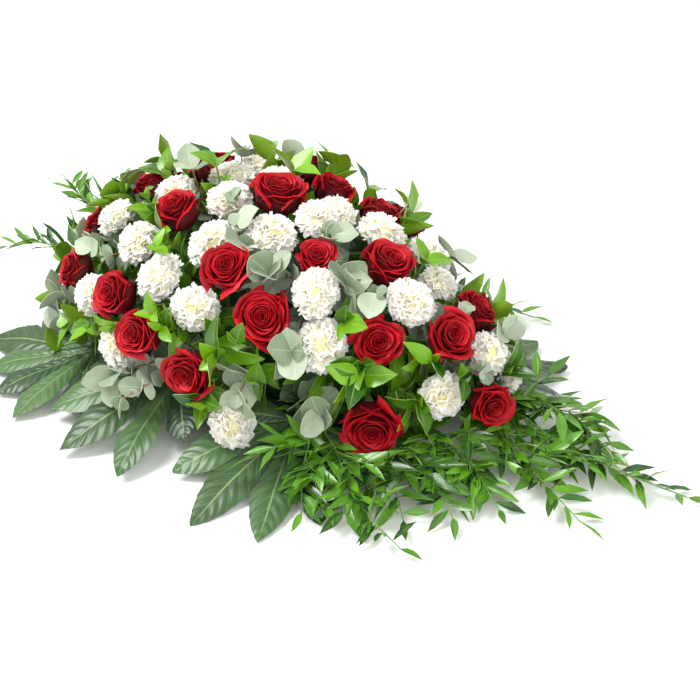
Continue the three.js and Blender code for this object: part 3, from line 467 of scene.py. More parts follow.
@dataclass
class Leaf:
    """One blade: its base, its three directions and its size."""

    base: Array
    along: Array
    up: Array
    side: Array
    length: float
    half_width: float
    kind: LeafKind

    def samples(self) -> Array:
        """Fifteen places on the blade, from near its base to its tip, right edge to left.

        Returns:
            The places, one a row.
        """
        t = np.repeat([0.2, 0.4, 0.6, 0.8, 1.0], 3)
        half = self.half_width * self.kind.form.share(t) * np.tile([-1.0, 0.0, 1.0], 5)
        lift = -self.kind.arch * self.length * t * t + self.kind.fold * np.abs(half)
        return placed(self.base, (self.along, self.length * t), (self.up, lift), (self.side, half))


@dataclass
class Around:
    """What stands near a leaf's base: points with squares of their least distances, and siblings."""

    points: Array
    squares: Array
    siblings: Array


@dataclass
class Sprig:
    """A twig's way out: the gate between the heads, the way it faces and its end."""

    gate: Array
    aim: Array
    end: Array
    leaves: int
    length: float
    root: Array | None = None
    grown: list[Leaf] = field(default_factory=list)


@dataclass
class Trail:
    """A trailing stem: its path and the leaflets that its solid has."""

    through: Array
    leaves: int
    length: float
    grown: list[Leaf] = field(default_factory=list)


class Curve:
    """A smooth path through points: a centripetal Catmull-Rom curve read by its length."""

    def __init__(self, points: Array, divisions: int = 200) -> None:
        """Samples the curve's length.

        Args:
            points: the points it runs through, one a row.
            divisions: the number of chords that its length is summed over.
        """
        self.points = np.vstack([2 * points[0] - points[1], points, 2 * points[-1] - points[-2]])
        self.shares = np.linspace(0, 1, divisions + 1)
        placed = self.at_share(self.shares)
        chords = np.linalg.norm(np.diff(placed, axis=0), axis=1)
        self.lengths = np.concatenate([[0], np.cumsum(chords)])

    def at_share(self, share: Array) -> Array:
        """Points at shares of the parameter.

        Each span is a cubic whose end slopes come from the square roots of the chords.

        Args:
            share: shares from 0 to 1.

        Returns:
            The points, one a row.
        """
        spans = len(self.points) - 3
        place = np.clip(share, 0, 1) * spans
        span = np.minimum(place.astype(int), spans - 1)
        w = (place - span)[:, None]
        x0, x1, x2, x3 = (self.points[span + i] for i in range(4))
        d0, d1, d2 = (
            np.linalg.norm(b - a, axis=1)[:, None] ** 0.5 for a, b in ((x0, x1), (x1, x2), (x2, x3))
        )
        s1 = ((x1 - x0) / d0 - (x2 - x0) / (d0 + d1) + (x2 - x1) / d1) * d1
        s2 = ((x2 - x1) / d1 - (x3 - x1) / (d1 + d2) + (x3 - x2) / d2) * d1
        return x1 + s1 * w + (3 * (x2 - x1) - 2 * s1 - s2) * w**2 + (2 * (x1 - x2) + s1 + s2) * w**3

    def stations(self, count: int) -> tuple[Array, Array, Array, Array]:
        """Places at even steps of length, with the way on, the way up and the way left there.

        Args:
            count: the number of places.

        Returns:
            Four arrays with one row a place.
        """
        target = np.linspace(0, 1, count) * self.lengths[-1]
        share = np.interp(target, self.lengths, self.shares)
        ahead = unit(
            self.at_share(np.minimum(share + 1e-4, 1)) - self.at_share(np.maximum(share - 1e-4, 0))
        )
        up = unit(vec(0, 0, 1) - ahead * ahead[:, 2:])
        return self.at_share(share), ahead, up, np.cross(up, ahead)


class Planting:
    """The planting rule: it places every head, twig and leaf as the solids have them."""

    def __init__(self) -> None:
        """Spreads the heads, then grows the leaves in the solids' order."""
        self.roses = [self._head(row) for row in ROSES]
        self.carnations = [[self._head(row) for row in group] for group in CARNATION_GROUPS]
        self.heads = self.roses + [head for group in self.carnations for head in group]
        self._spread()
        self.centres = np.array([head.centre for head in self.heads])
        self.radii = np.array([head.radius for head in self.heads])
        aims = np.array([head.aim for head in self.heads])
        self.faces = np.where((aims @ FRONT_WAY > 0.25)[:, None], FRONT_WAY, aims)
        for rose in self.roses:
            rose.foot = self.foot_for(rose.centre)
        self.taken_points = np.zeros((0, 3))
        self.taken_gaps = np.zeros(0)
        self.taken_nodes = np.zeros(0, int)
        self.node_numbers: dict[str, int] = {}
        self._take_aralia()
        self.gates: list[Array] = []
        self.branches: dict[str, list[Sprig]] = {}
        self._plant_sprigs(EUCALYPTUS, "eucalyptus")
        self._plant_sprigs(BROAD_RUSCUS, "broad_ruscus")
        self.trails: dict[str, list[Trail]] = {}
        self._plant_trails()
        self._plant_filling()

    @staticmethod
    def _head(row: Sequence[float]) -> Head:
        """A head from its row of the plan."""
        heading, climb, lift, width = row
        aim = MOUND.normal(heading, climb)
        return Head(MOUND.point(heading, climb) + aim * (lift - HEAD_SEAT), aim, width / 2)

    @staticmethod
    def foot_for(point: Array) -> Array:
        """The point in the foam that a stem at this place grows from."""
        height = FOOT_LEVEL + FOOT_ALONG * (point[2] - FOOT_LEVEL)
        return vec(FOOT_ALONG * point[0], FOOT_ACROSS * point[1], height)

    def _spread(self) -> None:
        """Pushes touching heads apart pair by pair until none touches another."""
        heads = self.heads
        centres = np.array([head.centre for head in heads])
        gaps = np.linalg.norm(centres[:, None] - centres[None], axis=2)
        need = np.array([[a.radius + b.radius + HEAD_GAP for b in heads] for a in heads])
        first, second = np.nonzero(np.triu(gaps < need + 40, 1))
        pairs = list(zip(first.tolist(), second.tolist()))
        for _ in range(200):
            moved = False
            for i, j in pairs:
                apart = centres[j] - centres[i]
                distance = math.sqrt(float(apart @ apart))
                if distance < need[i, j]:
                    push = (need[i, j] - distance) / 2 / distance
                    centres[i] -= apart * push
                    centres[j] += apart * push
                    moved = True
            if not moved:
                break
        for head, centre in zip(heads, centres):
            head.centre = centre
            head.neck = centre - head.aim * (head.radius + 3)

    def _take(self, node: str, points: Array, gap: float) -> None:
        """Notes points that later leaves of other nodes keep clear of.

        Args:
            node: the node that they belong to.
            points: the points.
            gap: the gap to keep.
        """
        self.taken_points = np.vstack([self.taken_points, points])
        self.taken_gaps = np.concatenate([self.taken_gaps, np.full(len(points), gap)])
        number = self.node_numbers.setdefault(node, len(self.node_numbers))
        self.taken_nodes = np.concatenate([self.taken_nodes, np.full(len(points), number)])

    def _take_segment(self, node: str, start: Array, end: Array, gap: float) -> None:
        """Notes points along a segment, about 6 mm apart."""
        count = max(2, math.ceil(float(np.linalg.norm(end - start)) / 6))
        share = np.linspace(0, 1, count + 1)[:, None]
        self._take(node, start + (end - start) * share, gap)

    def _take_aralia(self) -> None:
        """Notes the large leaves: three lines of points along each lobe."""
        for k, (at, layer, lobes) in enumerate(ARALIA):
            name = numbered("aralia", k)
            bend, heart = stalk_top(at, layer)
            self._take_segment(name, bend, heart, STALK_GAP)
            for heading, length in lobes:
                out = np.repeat(0.1 + 0.12 * np.arange(8), 3) * length
                across = np.tile([-15.0, 0.0, 15.0], 8)
                c, s = cos_sin(heading)
                x = at[0] + out * c - across * s
                y = at[1] + out * s + across * c
                self._take(name, sheet_point(x, y, layer, 1), LEAF_GAP)

    def around(
        self, base: Array, reach: float, node: str, siblings: Sequence[Leaf], margin: float
    ) -> Around:
        """What a leaf with this base and reach could touch.

        Args:
            base: the leaf's base.
            reach: its length.
            node: the node that it belongs to.
            siblings: the leaves of its own whorl.
            margin: the least gap to a head.

        Returns:
            Centres and least distances of the heads and of the noted points near by.
        """
        centres = np.vstack([self.centres, self.taken_points])
        gaps = np.concatenate([self.radii + margin, self.taken_gaps])
        others = np.concatenate([
            np.ones(len(self.centres), bool), self.taken_nodes != self.node_numbers.get(node, -1)
        ])
        near = others & (np.sum((centres - base) ** 2, axis=1) < (gaps + 1.2 * reach) ** 2)
        tips = np.concatenate([np.zeros((0, 3))] + [sibling.samples()[3:] for sibling in siblings])
        return Around(centres[near], gaps[near] ** 2, tips)

    @staticmethod
    def is_clear(leaf: Leaf, around: Around) -> bool:
        """Whether no sample of a blade is too near to a head, a leaf, the ground or the foam.

        Args:
            leaf: the leaf to try.
            around: what stands near it.

        Returns:
            True where it is clear.
        """
        samples = leaf.samples()
        apart = samples[3:, None] - around.siblings[None]
        if (np.sum(apart * apart, axis=2) < SIBLING_SQUARE).any():
            return False
        in_tray = (
            (np.abs(samples[:, 0]) < TRAY.length / 2 + 2)
            & (np.abs(samples[:, 1]) < TRAY.width / 2 + 2)
            & (samples[:, 2] < TRAY.height + 2)
            & ~FOAM.holds(samples, -1)
        )
        if (samples[:, 2] < GROUND_CLEAR).any() or in_tray.any() or FOAM.holds(samples, -2).any():
            return False
        apart = samples[:, None] - around.points[None]
        return not (np.sum(apart * apart, axis=2) < around.squares).any()

    def loosened(self, leaf: Leaf, node: str, rng: np.random.Generator) -> Leaf:
        """A leaf swung, nodded, rolled and arched by chance, by less and less until it is clear.

        It is turned about its own up, side and along directions in that order.

        Args:
            leaf: the leaf as it was planted.
            node: the node that it belongs to.
            rng: the source of the turns.

        Returns:
            The turned leaf, or the planted one where no turn is clear.
        """
        around = self.around(leaf.base, leaf.length, node, (), LOOSE_MARGIN)
        for n, size in enumerate(LOOSE_SIZES):
            turns = LOOSE_TURNS * rng.uniform(-1, 1, 3)
            arch = rng.uniform(0.8, 2.6)
            stretch = rng.uniform((0.84, 0.78), (1.1, 1.04))
            for share in (1.0, 0.6, 0.3) if n < 3 else (0.3, 0.0):
                (cs, cn, cr), (ss, sn, sr) = np.cos(turns * share), np.sin(turns * share)
                length, width = size * (1 + (stretch - 1) * share)
                along, side = leaf.along * cs + leaf.side * ss, leaf.side * cs - leaf.along * ss
                along, up = along * cn + leaf.up * sn, leaf.up * cn - along * sn
                side, up = side * cr + up * sr, up * cr - side * sr
                kind = replace(leaf.kind, arch=leaf.kind.arch * (1 + (arch - 1) * share))
                length, width = leaf.length * length, leaf.half_width * width
                turned = Leaf(leaf.base, along, up, side, length, width, kind)
                if self.is_clear(turned, around) and not self.hides(turned):
                    return turned
        if self.hides(leaf):
            return replace(leaf, length=0.5 * leaf.length, half_width=0.5 * leaf.half_width)
        return leaf

    def hides(self, leaf: Leaf) -> bool:
        """Whether part of a leaf stands before the face of a bloom.

        A bloom that looks to the front is kept free that way, and any other the way it faces.

        Args:
            leaf: the leaf.

        Returns:
            True where it does.
        """
        away = leaf.samples()[:, None] - self.centres[None]
        rise = np.sum(away * self.faces, axis=2)
        off = np.linalg.norm(away - rise[..., None] * self.faces, axis=2)
        return bool(((rise > 0) & (off < FACE_SHARE * self.radii)).any())

    def is_open(self, points: Array) -> bool:
        """Whether no point lies in a head or in the foam."""
        apart = np.linalg.norm(points[:, None] - self.centres[None], axis=2)
        return not (apart < self.radii + 1).any() and not FOAM.holds(points, -2).any()

    def _sprig(self, row: Sequence[float]) -> Sprig:
        """A sprig's gate, nudged clear of the heads and of the other gates.

        Args:
            row: the sprig's row of the plan.

        Returns:
            The sprig, without leaves.
        """
        heading, climb, leaves, length, rise = row
        aim = MOUND.normal(heading, climb)
        gate = MOUND.point(heading, climb) - aim * HEAD_SEAT
        for _ in range(120):
            before = gate.copy()
            k = 0
            while k < len(self.centres):
                rest = self.centres[k:]
                end = gate + aim * (SPRIG_SEAT + rise)
                near = nearest_on_segments(rest, gate - aim * GATE_DEPTH, end)
                away = near - rest
                short = self.radii[k:] + TWIG + 1.3 - np.linalg.norm(away, axis=1)
                away = away - aim * (away @ aim)[:, None]
                hits = np.nonzero((short > 0) & (np.linalg.norm(away, axis=1) > 1e-6))[0]
                if not len(hits):
                    break
                gate = gate + unit(away[hits[0]]) * (NUDGE * short[hits[0]])
                k += hits[0] + 1
            for other in self.gates:
                away = gate - other
                short = GATE_GAP - np.linalg.norm(away)
                if short > 0:
                    gate = gate + unit(away - aim * (away @ aim)) * (NUDGE * short)
            if np.allclose(before, gate, atol=1e-12):
                break
        self.gates.append(gate)
        return Sprig(gate, aim, gate + aim * (SPRIG_SEAT + rise), leaves, length)

    def grow_leaf(
        self, kind: LeafKind, base: Array, axis: Array, turn: float, lift: float,
        size: tuple[float, float], node: str, siblings: Sequence[Leaf], margin: float = HEAD_MARGIN,
    ) -> Leaf | None:  # fmt: skip
        """A leaf on a twig, turned, raised and shortened by small steps until it is clear.

        Args:
            kind: the kind of greenery.
            base: where it grows.
            axis: the way the twig points there.
            turn: its heading round the twig in degrees.
            lift: how far it stands up from square to the twig, in degrees.
            size: its length and its half width.
            node: the node that it belongs to.
            siblings: the leaves that it must miss on its own twig.
            margin: the least gap to a head.

        Returns:
            The leaf, or None where no try is clear.
        """
        u, v = cross_axes(axis)
        around = self.around(base, size[0], node, siblings, margin)
        for scale in LEAF_SCALES:
            length, half_width = size[0] * scale, size[1] * scale
            for raised in np.arange(lift, STEEPEST_LEAF, LEAF_RISE):
                for swing in LEAF_SWINGS:
                    c, s = cos_sin(turn + swing)
                    outward = u * c + v * s
                    c, s = cos_sin(raised)
                    along = outward * c + axis * s
                    up = axis * c - outward * s
                    leaf = Leaf(base, along, up, np.cross(up, along), length, half_width, kind)
                    if self.is_clear(leaf, around):
                        return leaf
        return None

    def _grow_whorl(self, sprig: Sprig, kind: LeafKind, phase: float, name: str) -> None:
        """Grows the whorl of leaves at a sprig's end.

        Args:
            sprig: the sprig.
            kind: its kind.
            phase: sets its leaves' turns.
            name: its node.
        """
        for n in range(sprig.leaves):
            length = sprig.length * (0.86 + 0.14 * math.sin(2.4 * n + phase))
            turn = 360 * n / sprig.leaves + phase + 22 * math.sin(5.3 * n + phase)
            lift = kind.lift + WHORL_RAISES[n % 4]
            size = (length, sprig.length * kind.width)
            leaf = self.grow_leaf(kind, sprig.end, sprig.aim, turn, lift, size, name, sprig.grown)
            if leaf:
                self._take(name, leaf.samples(), LEAF_GAP)
                sprig.grown.append(leaf)

    def _plant_sprigs(self, plan: Sequence[Sequence[Sequence[float]]], kind_name: str) -> None:
        """Plants each branch's sprigs and grows the whorl at the end of each.

        Args:
            plan: the rows of each branch.
            kind_name: their kind.
        """
        for k, rows in enumerate(plan):
            name = numbered(kind_name, k)
            sprigs = [self._sprig(row) for row in rows]
            for sprig in sprigs:
                self._take_segment(name, sprig.gate, sprig.end, TWIG_GAP)
            for i, sprig in enumerate(sprigs):
                self._grow_whorl(sprig, KINDS[kind_name], 53 * i + 31 * k, name)
            self.branches[name] = sprigs

    def _plant_filling(self) -> None:
        """Plants short filling sprigs, each as part of the nearest branch of its kind.

        They stand in rings, by turns higher and lower, and grow from the foam on stems of their own.
        """
        middles = {
            name: np.mean([sprig.gate for sprig in sprigs], axis=0)
            for name, sprigs in self.branches.items()
        }
        plan = [
            (heading, climbs[n % len(climbs)], rise, n)
            for first, last, step, climbs, rise in FILL_RINGS
            for n, heading in enumerate(range(first, last, step))
        ]
        for heading, climb, rise, n in plan:
            kind_name = "eucalyptus" if n % 4 == 1 else "broad_ruscus"
            sprig = self._sprig((heading, climb, 4, FILL_LENGTHS[kind_name], rise))
            sprig.root = self.foot_for(sprig.gate)
            same = [name for name in middles if name.startswith(kind_name)]
            apart = [float(np.linalg.norm(middles[name] - sprig.gate)) for name in same]
            name = same[int(np.argmin(apart))]
            self._grow_whorl(sprig, KINDS[kind_name], 47 * n, name)
            self.branches[name].append(sprig)

    def grow_leaflet(
        self, place: Sequence[Array], hand: int, wave: float, length: float, node: str
    ) -> Leaf | None:
        """A leaflet of a trailing stem, on the left (1), the right (-1) or at the end (0).

        Args:
            place: the place on the stem, the way on, the way up and the way left.
            hand: the side that it grows on.
            wave: how far it is raised, in degrees.
            length: its length.
            node: the node that it belongs to.

        Returns:
            The leaflet, or None where no try is clear.
        """
        kind = KINDS["italian_ruscus"]
        base, ahead, up, left = place
        around = self.around(base, length, node, (), HEAD_MARGIN)
        root = base + left * (hand * RIB_HALF)
        lifts = TIP_RISES if hand == 0 else tuple(wave + rise for rise in LEAFLET_RISES)
        for scale in LEAFLET_SCALES:
            size = length * scale
            for lift in lifts:
                for spread in (0,) if hand == 0 else LEAFLET_SPREADS:
                    c, s = cos_sin(spread)
                    outward = ahead * c + left * (hand * s)
                    c, s = cos_sin(lift)
                    along = outward * c + up * s
                    top = up * c - outward * s
                    leaf = Leaf(root, along, top, np.cross(top, along), size, size * kind.width, kind)
                    if self.is_clear(leaf, around):
                        return leaf
        return None

    def _plant_trails(self) -> None:
        """Lays the trailing stems and grows their leaflets, left and right by turns."""
        for k, rows in enumerate(ITALIAN_RUSCUS):
            name = numbered("italian_ruscus", k)
            self.trails[name] = []
            for i, (through, leaves, length) in enumerate(rows):
                trail = Trail(np.array(through, float), leaves, length)
                path = Curve(trail.through)
                stations = path.stations(leaves + 1)
                for n in range(1, leaves + 1):
                    place = [part[n] for part in stations]
                    hand = 0 if n == leaves else (-1 if n % 2 == 0 else 1)
                    wave = 14 + 16 * math.sin(2.1 * n + 40 * i)
                    leaf = self.grow_leaflet(place, hand, wave, length, name)
                    if leaf:
                        self._take(name, leaf.samples(), LEAF_GAP)
                        trail.grown.append(leaf)
                self._take(name, path.stations(2 * leaves)[0], TWIG_GAP)
                self.trails[name].append(trail)


def numbered(name: str, k: int) -> str:
    """The name of the node of that number, counted from 1."""
    return f"{name}_{k + 1:02d}"


# Large leaves: the free stretch by the heart, and the half sector outside the first and last lobes
LOBE_NOTCH = 24
OUTER_SECTOR = 28

# The low sheet that they lie on: where it starts and ends, its heights and the step of a layer
SHEET_REACH = 1.5
SHEET_RUN = 0.95
SHEET_LOW = 2
SHEET_RISE = 40
SHEET_STEP = 6.5


def sheet_point(x: Array, y: Array, layer: int, lift: float | Array) -> Array:
    """Points of the low sheet that the large leaves lie on.

    The height falls from the mound's foot outward by a power of how near a place is.

    Args:
        x: places along.
        y: places across.
        layer: 0 or 1.
        lift: heights over the sheet.

    Returns:
        The points.
    """
    slope = np.clip((SHEET_REACH - MOUND.reach(x, y)) / SHEET_RUN, 0, 1)
    z = SHEET_LOW + SHEET_RISE * slope**1.3 + SHEET_STEP * layer + lift
    return np.stack(np.broadcast_arrays(x, y, z), axis=-1)


def stalk_top(at: tuple[float, float], layer: int) -> tuple[Array, Array]:
    """The bend of a large leaf's stalk, and its heart, where the lobes meet."""
    heart = sheet_point(vec(at[0]), vec(at[1]), layer, 2.2)[0]
    return vec(0.95 * at[0], 0.93 * at[1], heart[2] + 3), heart


# Meshes

# Edges sharper than this stay sharp when a mesh is shaded
SHARP_FROM = math.radians(70)


def rim_loop(rows: int, columns: int) -> Array:
    """The indices round the edge of a grid, in the order in which its faces pass them."""
    index = np.arange(rows * columns).reshape(rows, columns)
    return np.concatenate([index[:, 0], index[-1, 1:], index[-2::-1, -1], index[0, -2:0:-1]])


class MeshStore:
    """The vertices, faces, materials and blade coordinates of one piece, as arrays."""

    def __init__(self) -> None:
        """Starts empty."""
        self.points: list[Array] = []
        self.blades: list[Array] = []
        self.faces: list[tuple[Array, int]] = []
        self.count = 0

    def _add(self, points: Array, blades: Array, faces: Sequence[Array], slot: int) -> None:
        """Adds points with their blade coordinates and faces in one material slot.

        Args:
            points: points, one a row.
            blades: a blade coordinate for each.
            faces: arrays of faces of one size.
            slot: the material slot.
        """
        for face in faces:
            self.faces.append((face + self.count, slot))
        self.points.append(points)
        self.blades.append(blades)
        self.count += len(points)

    def add_sheets(
        self, grids: Array, thickness: float, slot: int = 0, tints: Array | None = None
    ) -> None:
        """Adds thin closed shells over grids of points.

        Each grid is moved half the thickness along its normals to each side, and the two faces
        are joined round the rim. Across, along, side and tint go into the blade coordinate.

        Args:
            grids: points of shape (sheets, rows, columns, 3): rows across, columns along.
            thickness: the shell's thickness.
            slot: the material slot.
            tints: one number from 0 to 1 for each sheet.
        """
        sheets, rows, columns, _ = grids.shape
        normal = unit(np.cross(np.gradient(grids, axis=1), np.gradient(grids, axis=2)))
        both = np.stack([grids + normal * thickness / 2, grids - normal * thickness / 2], axis=1)
        index = np.arange(rows * columns).reshape(rows, columns)
        quads = np.stack([index[:-1, :-1], index[1:, :-1], index[1:, 1:], index[:-1, 1:]], axis=-1)
        front = quads.reshape(-1, 4)
        back = front[:, ::-1] + rows * columns
        loop = rim_loop(rows, columns)
        ahead = np.roll(loop, -1)
        size = rows * columns
        rim = np.stack([ahead, loop, loop + size, ahead + size], axis=1)
        one = np.concatenate([front, back, rim])
        faces = (one[None] + (np.arange(sheets) * 2 * size)[:, None, None]).reshape(-1, 4)
        blades = np.zeros((sheets, 2, rows, columns, 4))
        blades[..., 0] = np.linspace(0, 1, rows)[:, None]
        blades[..., 1] = np.linspace(0, 1, columns)
        blades[:, 1, ..., 2] = 1
        blades[..., 3] = 0.5 if tints is None else tints[:, None, None, None]
        self._add(both.reshape(-1, 3), blades.reshape(-1, 4), [faces], slot)

    def add_tube(self, path: Array, radii: Array, sides: int = 6, slot: int = 0) -> None:
        """Adds a closed tube: rings of points square to a path.

        Args:
            path: points along the middle, one a row.
            radii: the radius at each point.
            sides: the number of sides.
            slot: the material slot.
        """
        count = len(path)
        axis = unit(np.gradient(path, axis=0))
        square = cross_axes(unit(path[-1] - path[0]))[0]
        u = unit(square - axis * (axis @ square)[:, None])
        v = np.cross(axis, u)
        angle = 2 * math.pi * np.arange(sides) / sides
        c, s = np.cos(angle)[None, :, None], np.sin(angle)[None, :, None]
        offset = u[:, None] * c + v[:, None] * s
        points = path[:, None] + offset * np.asarray(radii, float)[:, None, None]
        index = np.arange(count * sides).reshape(count, sides)
        turned = np.roll(index, -1, axis=1)
        quads = np.stack([index[:-1], turned[:-1], turned[1:], index[1:]], axis=-1).reshape(-1, 4)
        caps = np.stack([index[0, ::-1], index[-1]])
        blades = np.zeros((count, sides, 4))
        blades[..., 0] = angle / (2 * math.pi)
        blades[..., 1] = np.linspace(0, 1, count)[:, None]
        blades[..., 3] = 0.5
        self._add(points.reshape(-1, 3), blades.reshape(-1, 4), [quads, caps], slot)

    def write(self, name: str, materials: Sequence[Material]) -> Piece:
        """Writes the mesh, in metres, and returns its object.

        Args:
            name: the object's name.
            materials: the materials of its slots.

        Returns:
            The object, linked to the scene.
        """
        points = np.concatenate(self.points) * TO_METRES
        widths = np.concatenate([np.full(len(face), face.shape[1]) for face, _ in self.faces])
        loops = np.concatenate([face.reshape(-1) for face, _ in self.faces])
        slots = np.concatenate([np.full(len(face), slot) for face, slot in self.faces])
        mesh = bpy.data.meshes.new(name)
        mesh.vertices.add(len(points))
        mesh.vertices.foreach_set("co", points.astype(np.float32).reshape(-1))
        mesh.loops.add(len(loops))
        mesh.loops.foreach_set("vertex_index", loops.astype(np.int32))
        mesh.polygons.add(len(widths))
        starts = np.concatenate([[0], np.cumsum(widths)[:-1]])
        mesh.polygons.foreach_set("loop_start", starts.astype(np.int32))
        mesh.polygons.foreach_set("material_index", slots.astype(np.int32))
        for material in materials:
            mesh.materials.append(material)
        mesh.update(calc_edges=True)
        blade = mesh.attributes.new("blade", "FLOAT_COLOR", "POINT")
        blade.data.foreach_set("color", np.concatenate(self.blades).astype(np.float32).reshape(-1))
        mesh.shade_smooth()
        mesh.set_sharp_from_angle(angle=SHARP_FROM)
        piece = bpy.data.objects.new(name, mesh)
        bpy.context.scene.collection.objects.link(piece)
        log.info("%s: %d triangles", name, int(np.sum(widths - 2)))
        return piece


def add_stub(store: MeshStore, foot: Array, fork: Array) -> None:
    """Adds the rod in the foam that a branch's stems fork from, ending just past the fork."""
    path = np.vstack([foot, fork, fork + unit(fork - foot) * PAST_FORK])
    store.add_tube(path, np.full(3, STUB), 6, 1)


# Finishes


def linear(colour: str) -> tuple[float, ...]:
    """A linear colour from an sRGB hex value such as "a31222".

    Args:
        colour: the value.

    Returns:
        Red, green, blue and alpha.
    """
    parts = [int(colour[i : i + 2], 16) / 255 for i in (0, 2, 4)]
    plain = [c / 12.92 if c <= 0.04045 else ((c + 0.055) / 1.055) ** 2.4 for c in parts]
    return (*plain, 1.0)


def feed(tree: Tree, socket: Socket, value: Value) -> None:
    """Gives an input its value, or links it where the value is a socket.

    Args:
        tree: the node tree.
        socket: the input.
        value: a number, a colour, or the output to link.
    """
    if isinstance(value, Socket):
        tree.links.new(value, socket)
    else:
        socket.default_value = value


def add_node(tree: Tree, kind: str, inputs: dict | None = None, **settings: object) -> bpy.types.Node:
    """Adds a node with its settings, its input values and its links.

    Args:
        tree: the node tree.
        kind: the node's type.
        inputs: values or output sockets for its inputs, by name or number.
        settings: attributes of the node.

    Returns:
        The node.
    """
    node = tree.nodes.new(kind)
    for key, value in settings.items():
        setattr(node, key, value)
    for key, value in (inputs or {}).items():
        feed(tree, node.inputs[key], value)
    return node


def maths(tree: Tree, operation: str, *values: Value) -> Socket:
    """The result of one step of arithmetic on sockets or numbers."""
    return add_node(tree, "ShaderNodeMath", dict(enumerate(values)), operation=operation).outputs[0]


def mixed(tree: Tree, share: Value, first: Value, second: Value, blend: str = "MIX") -> Socket:
    """Two colours mixed by a share."""
    inputs = {0: share, 6: first, 7: second}
    return add_node(tree, "ShaderNodeMix", inputs, data_type="RGBA", blend_type=blend).outputs[2]


def ramp(tree: Tree, share: Value, stops: Stops) -> Socket:
    """A colour read from stops of place and sRGB hex.

    Args:
        tree: the node tree.
        share: the place to read.
        stops: the stops.

    Returns:
        The colour.
    """
    node = add_node(tree, "ShaderNodeValToRGB", {0: share})
    elements = node.color_ramp.elements
    while len(elements) < len(stops):
        elements.new(0.5)
    for element, (place, colour) in zip(elements, stops):
        element.position = place
        element.color = linear(colour)
    return node.outputs[0]


# How far apart in the noise the streaks of two blades can lie
BLADES_APART = 40.0


@dataclass
class Shader:
    """A new material with its blade coordinate ready to use."""

    name: str

    def __post_init__(self) -> None:
        """Makes the material and reads the blade coordinate."""
        self.material = bpy.data.materials.new(self.name)
        self.material.use_nodes = True
        self.tree = self.material.node_tree
        self.tree.nodes.clear()
        self.principled = add_node(self.tree, "ShaderNodeBsdfPrincipled")
        add_node(self.tree, "ShaderNodeOutputMaterial", {"Surface": self.principled.outputs[0]})
        blade = add_node(self.tree, "ShaderNodeAttribute", attribute_name="blade")
        parts = add_node(self.tree, "ShaderNodeSeparateXYZ", {0: blade.outputs["Vector"]})
        self.across, self.along, self.side = parts.outputs
        self.tint = blade.outputs["Alpha"]
        self.place = add_node(self.tree, "ShaderNodeTexCoord").outputs["Object"]

    def blotches(self, size: float, detail: float = 2) -> Socket:
        """Noise whose blotches are about this size in millimetres."""
        inputs = {"Vector": self.place, "Scale": 1 / (size * TO_METRES), "Detail": detail}
        return add_node(self.tree, "ShaderNodeTexNoise", inputs).outputs["Fac"]

    def streaks(self, across: float, along: float) -> Socket:
        """Noise drawn out along the blade, another on each one.

        Args:
            across: the number of streaks from edge to edge.
            along: the number from base to tip.

        Returns:
            The noise.
        """
        factors = ((self.across, across), (self.along, along), (self.tint, BLADES_APART))
        parts = {i: maths(self.tree, "MULTIPLY", *pair) for i, pair in enumerate(factors)}
        vector = add_node(self.tree, "ShaderNodeCombineXYZ", parts).outputs[0]
        inputs = {"Vector": vector, "Scale": 1.0, "Detail": 2.0}
        return add_node(self.tree, "ShaderNodeTexNoise", inputs).outputs["Fac"]

    def bump(self, height: Value, distance: float, strength: float = 1.0) -> None:
        """Gives the surface a relief of a height in millimetres."""
        inputs = {"Height": height, "Distance": distance * TO_METRES, "Strength": strength}
        relief = add_node(self.tree, "ShaderNodeBump", inputs).outputs[0]
        feed(self.tree, self.principled.inputs["Normal"], relief)

    def finish(self, colour: Value, **values: Value) -> Material:
        """Sets the shader's inputs.

        Args:
            colour: the base colour.
            values: the other inputs' values, the spaces in their names written as underscores.

        Returns:
            The material.
        """
        for key, value in {"Base_Color": colour, **values}.items():
            feed(self.tree, self.principled.inputs[key.replace("_", " ")], value)
        return self.material


@dataclass(frozen=True)
class RosePetal:
    """Rose petal: velvety, bright crimson inside and dark maroon outside, with painted shade at its
    base.
    """

    # Painted shade: both ramps fall almost to black towards the petal's base, for the deep gaps between
    # the petals
    inner: Stops = ((0.0, "160103"), (0.5, "5a0209"), (0.76, "a60614"), (1.0, "c41222"))
    outer: Stops = ((0.0, "220308"), (0.6, "5a0710"), (1.0, "920e1c"))
    shade: Stops = ((0.2, "c8c8c8"), (0.7, "ffffff"))
    sheen: str = "e03a4a"
    roughness: float = 0.5
    streaks: int = 34

    def material(self) -> Material:
        """Makes the material, with fine streaks from base to rim.

        The streaks are about 1.5 mm apart, coarser than real rows of cells, so that they show.

        Returns:
            The material.
        """
        s = Shader("rose_petal")
        # Each side's ramp carries painted shade that darkens it towards the base
        front = ramp(s.tree, s.along, self.inner)
        back = ramp(s.tree, s.along, self.outer)
        colour = mixed(s.tree, s.side, front, back)
        streaks = s.streaks(self.streaks, 3)
        shade = maths(s.tree, "MULTIPLY", maths(s.tree, "ADD", streaks, s.tint), 0.5)
        colour = mixed(s.tree, 1.0, colour, ramp(s.tree, shade, self.shade), "MULTIPLY")
        s.bump(streaks, 0.25, 0.5)
        return s.finish(
            colour,
            Roughness=self.roughness,
            Sheen_Weight=0.06,
            Sheen_Roughness=0.4,
            Sheen_Tint=linear(self.sheen),
            Specular_IOR_Level=0.22,
            Subsurface_Weight=0.08,
            Subsurface_Radius=(0.004, 0.0006, 0.0006),
        )


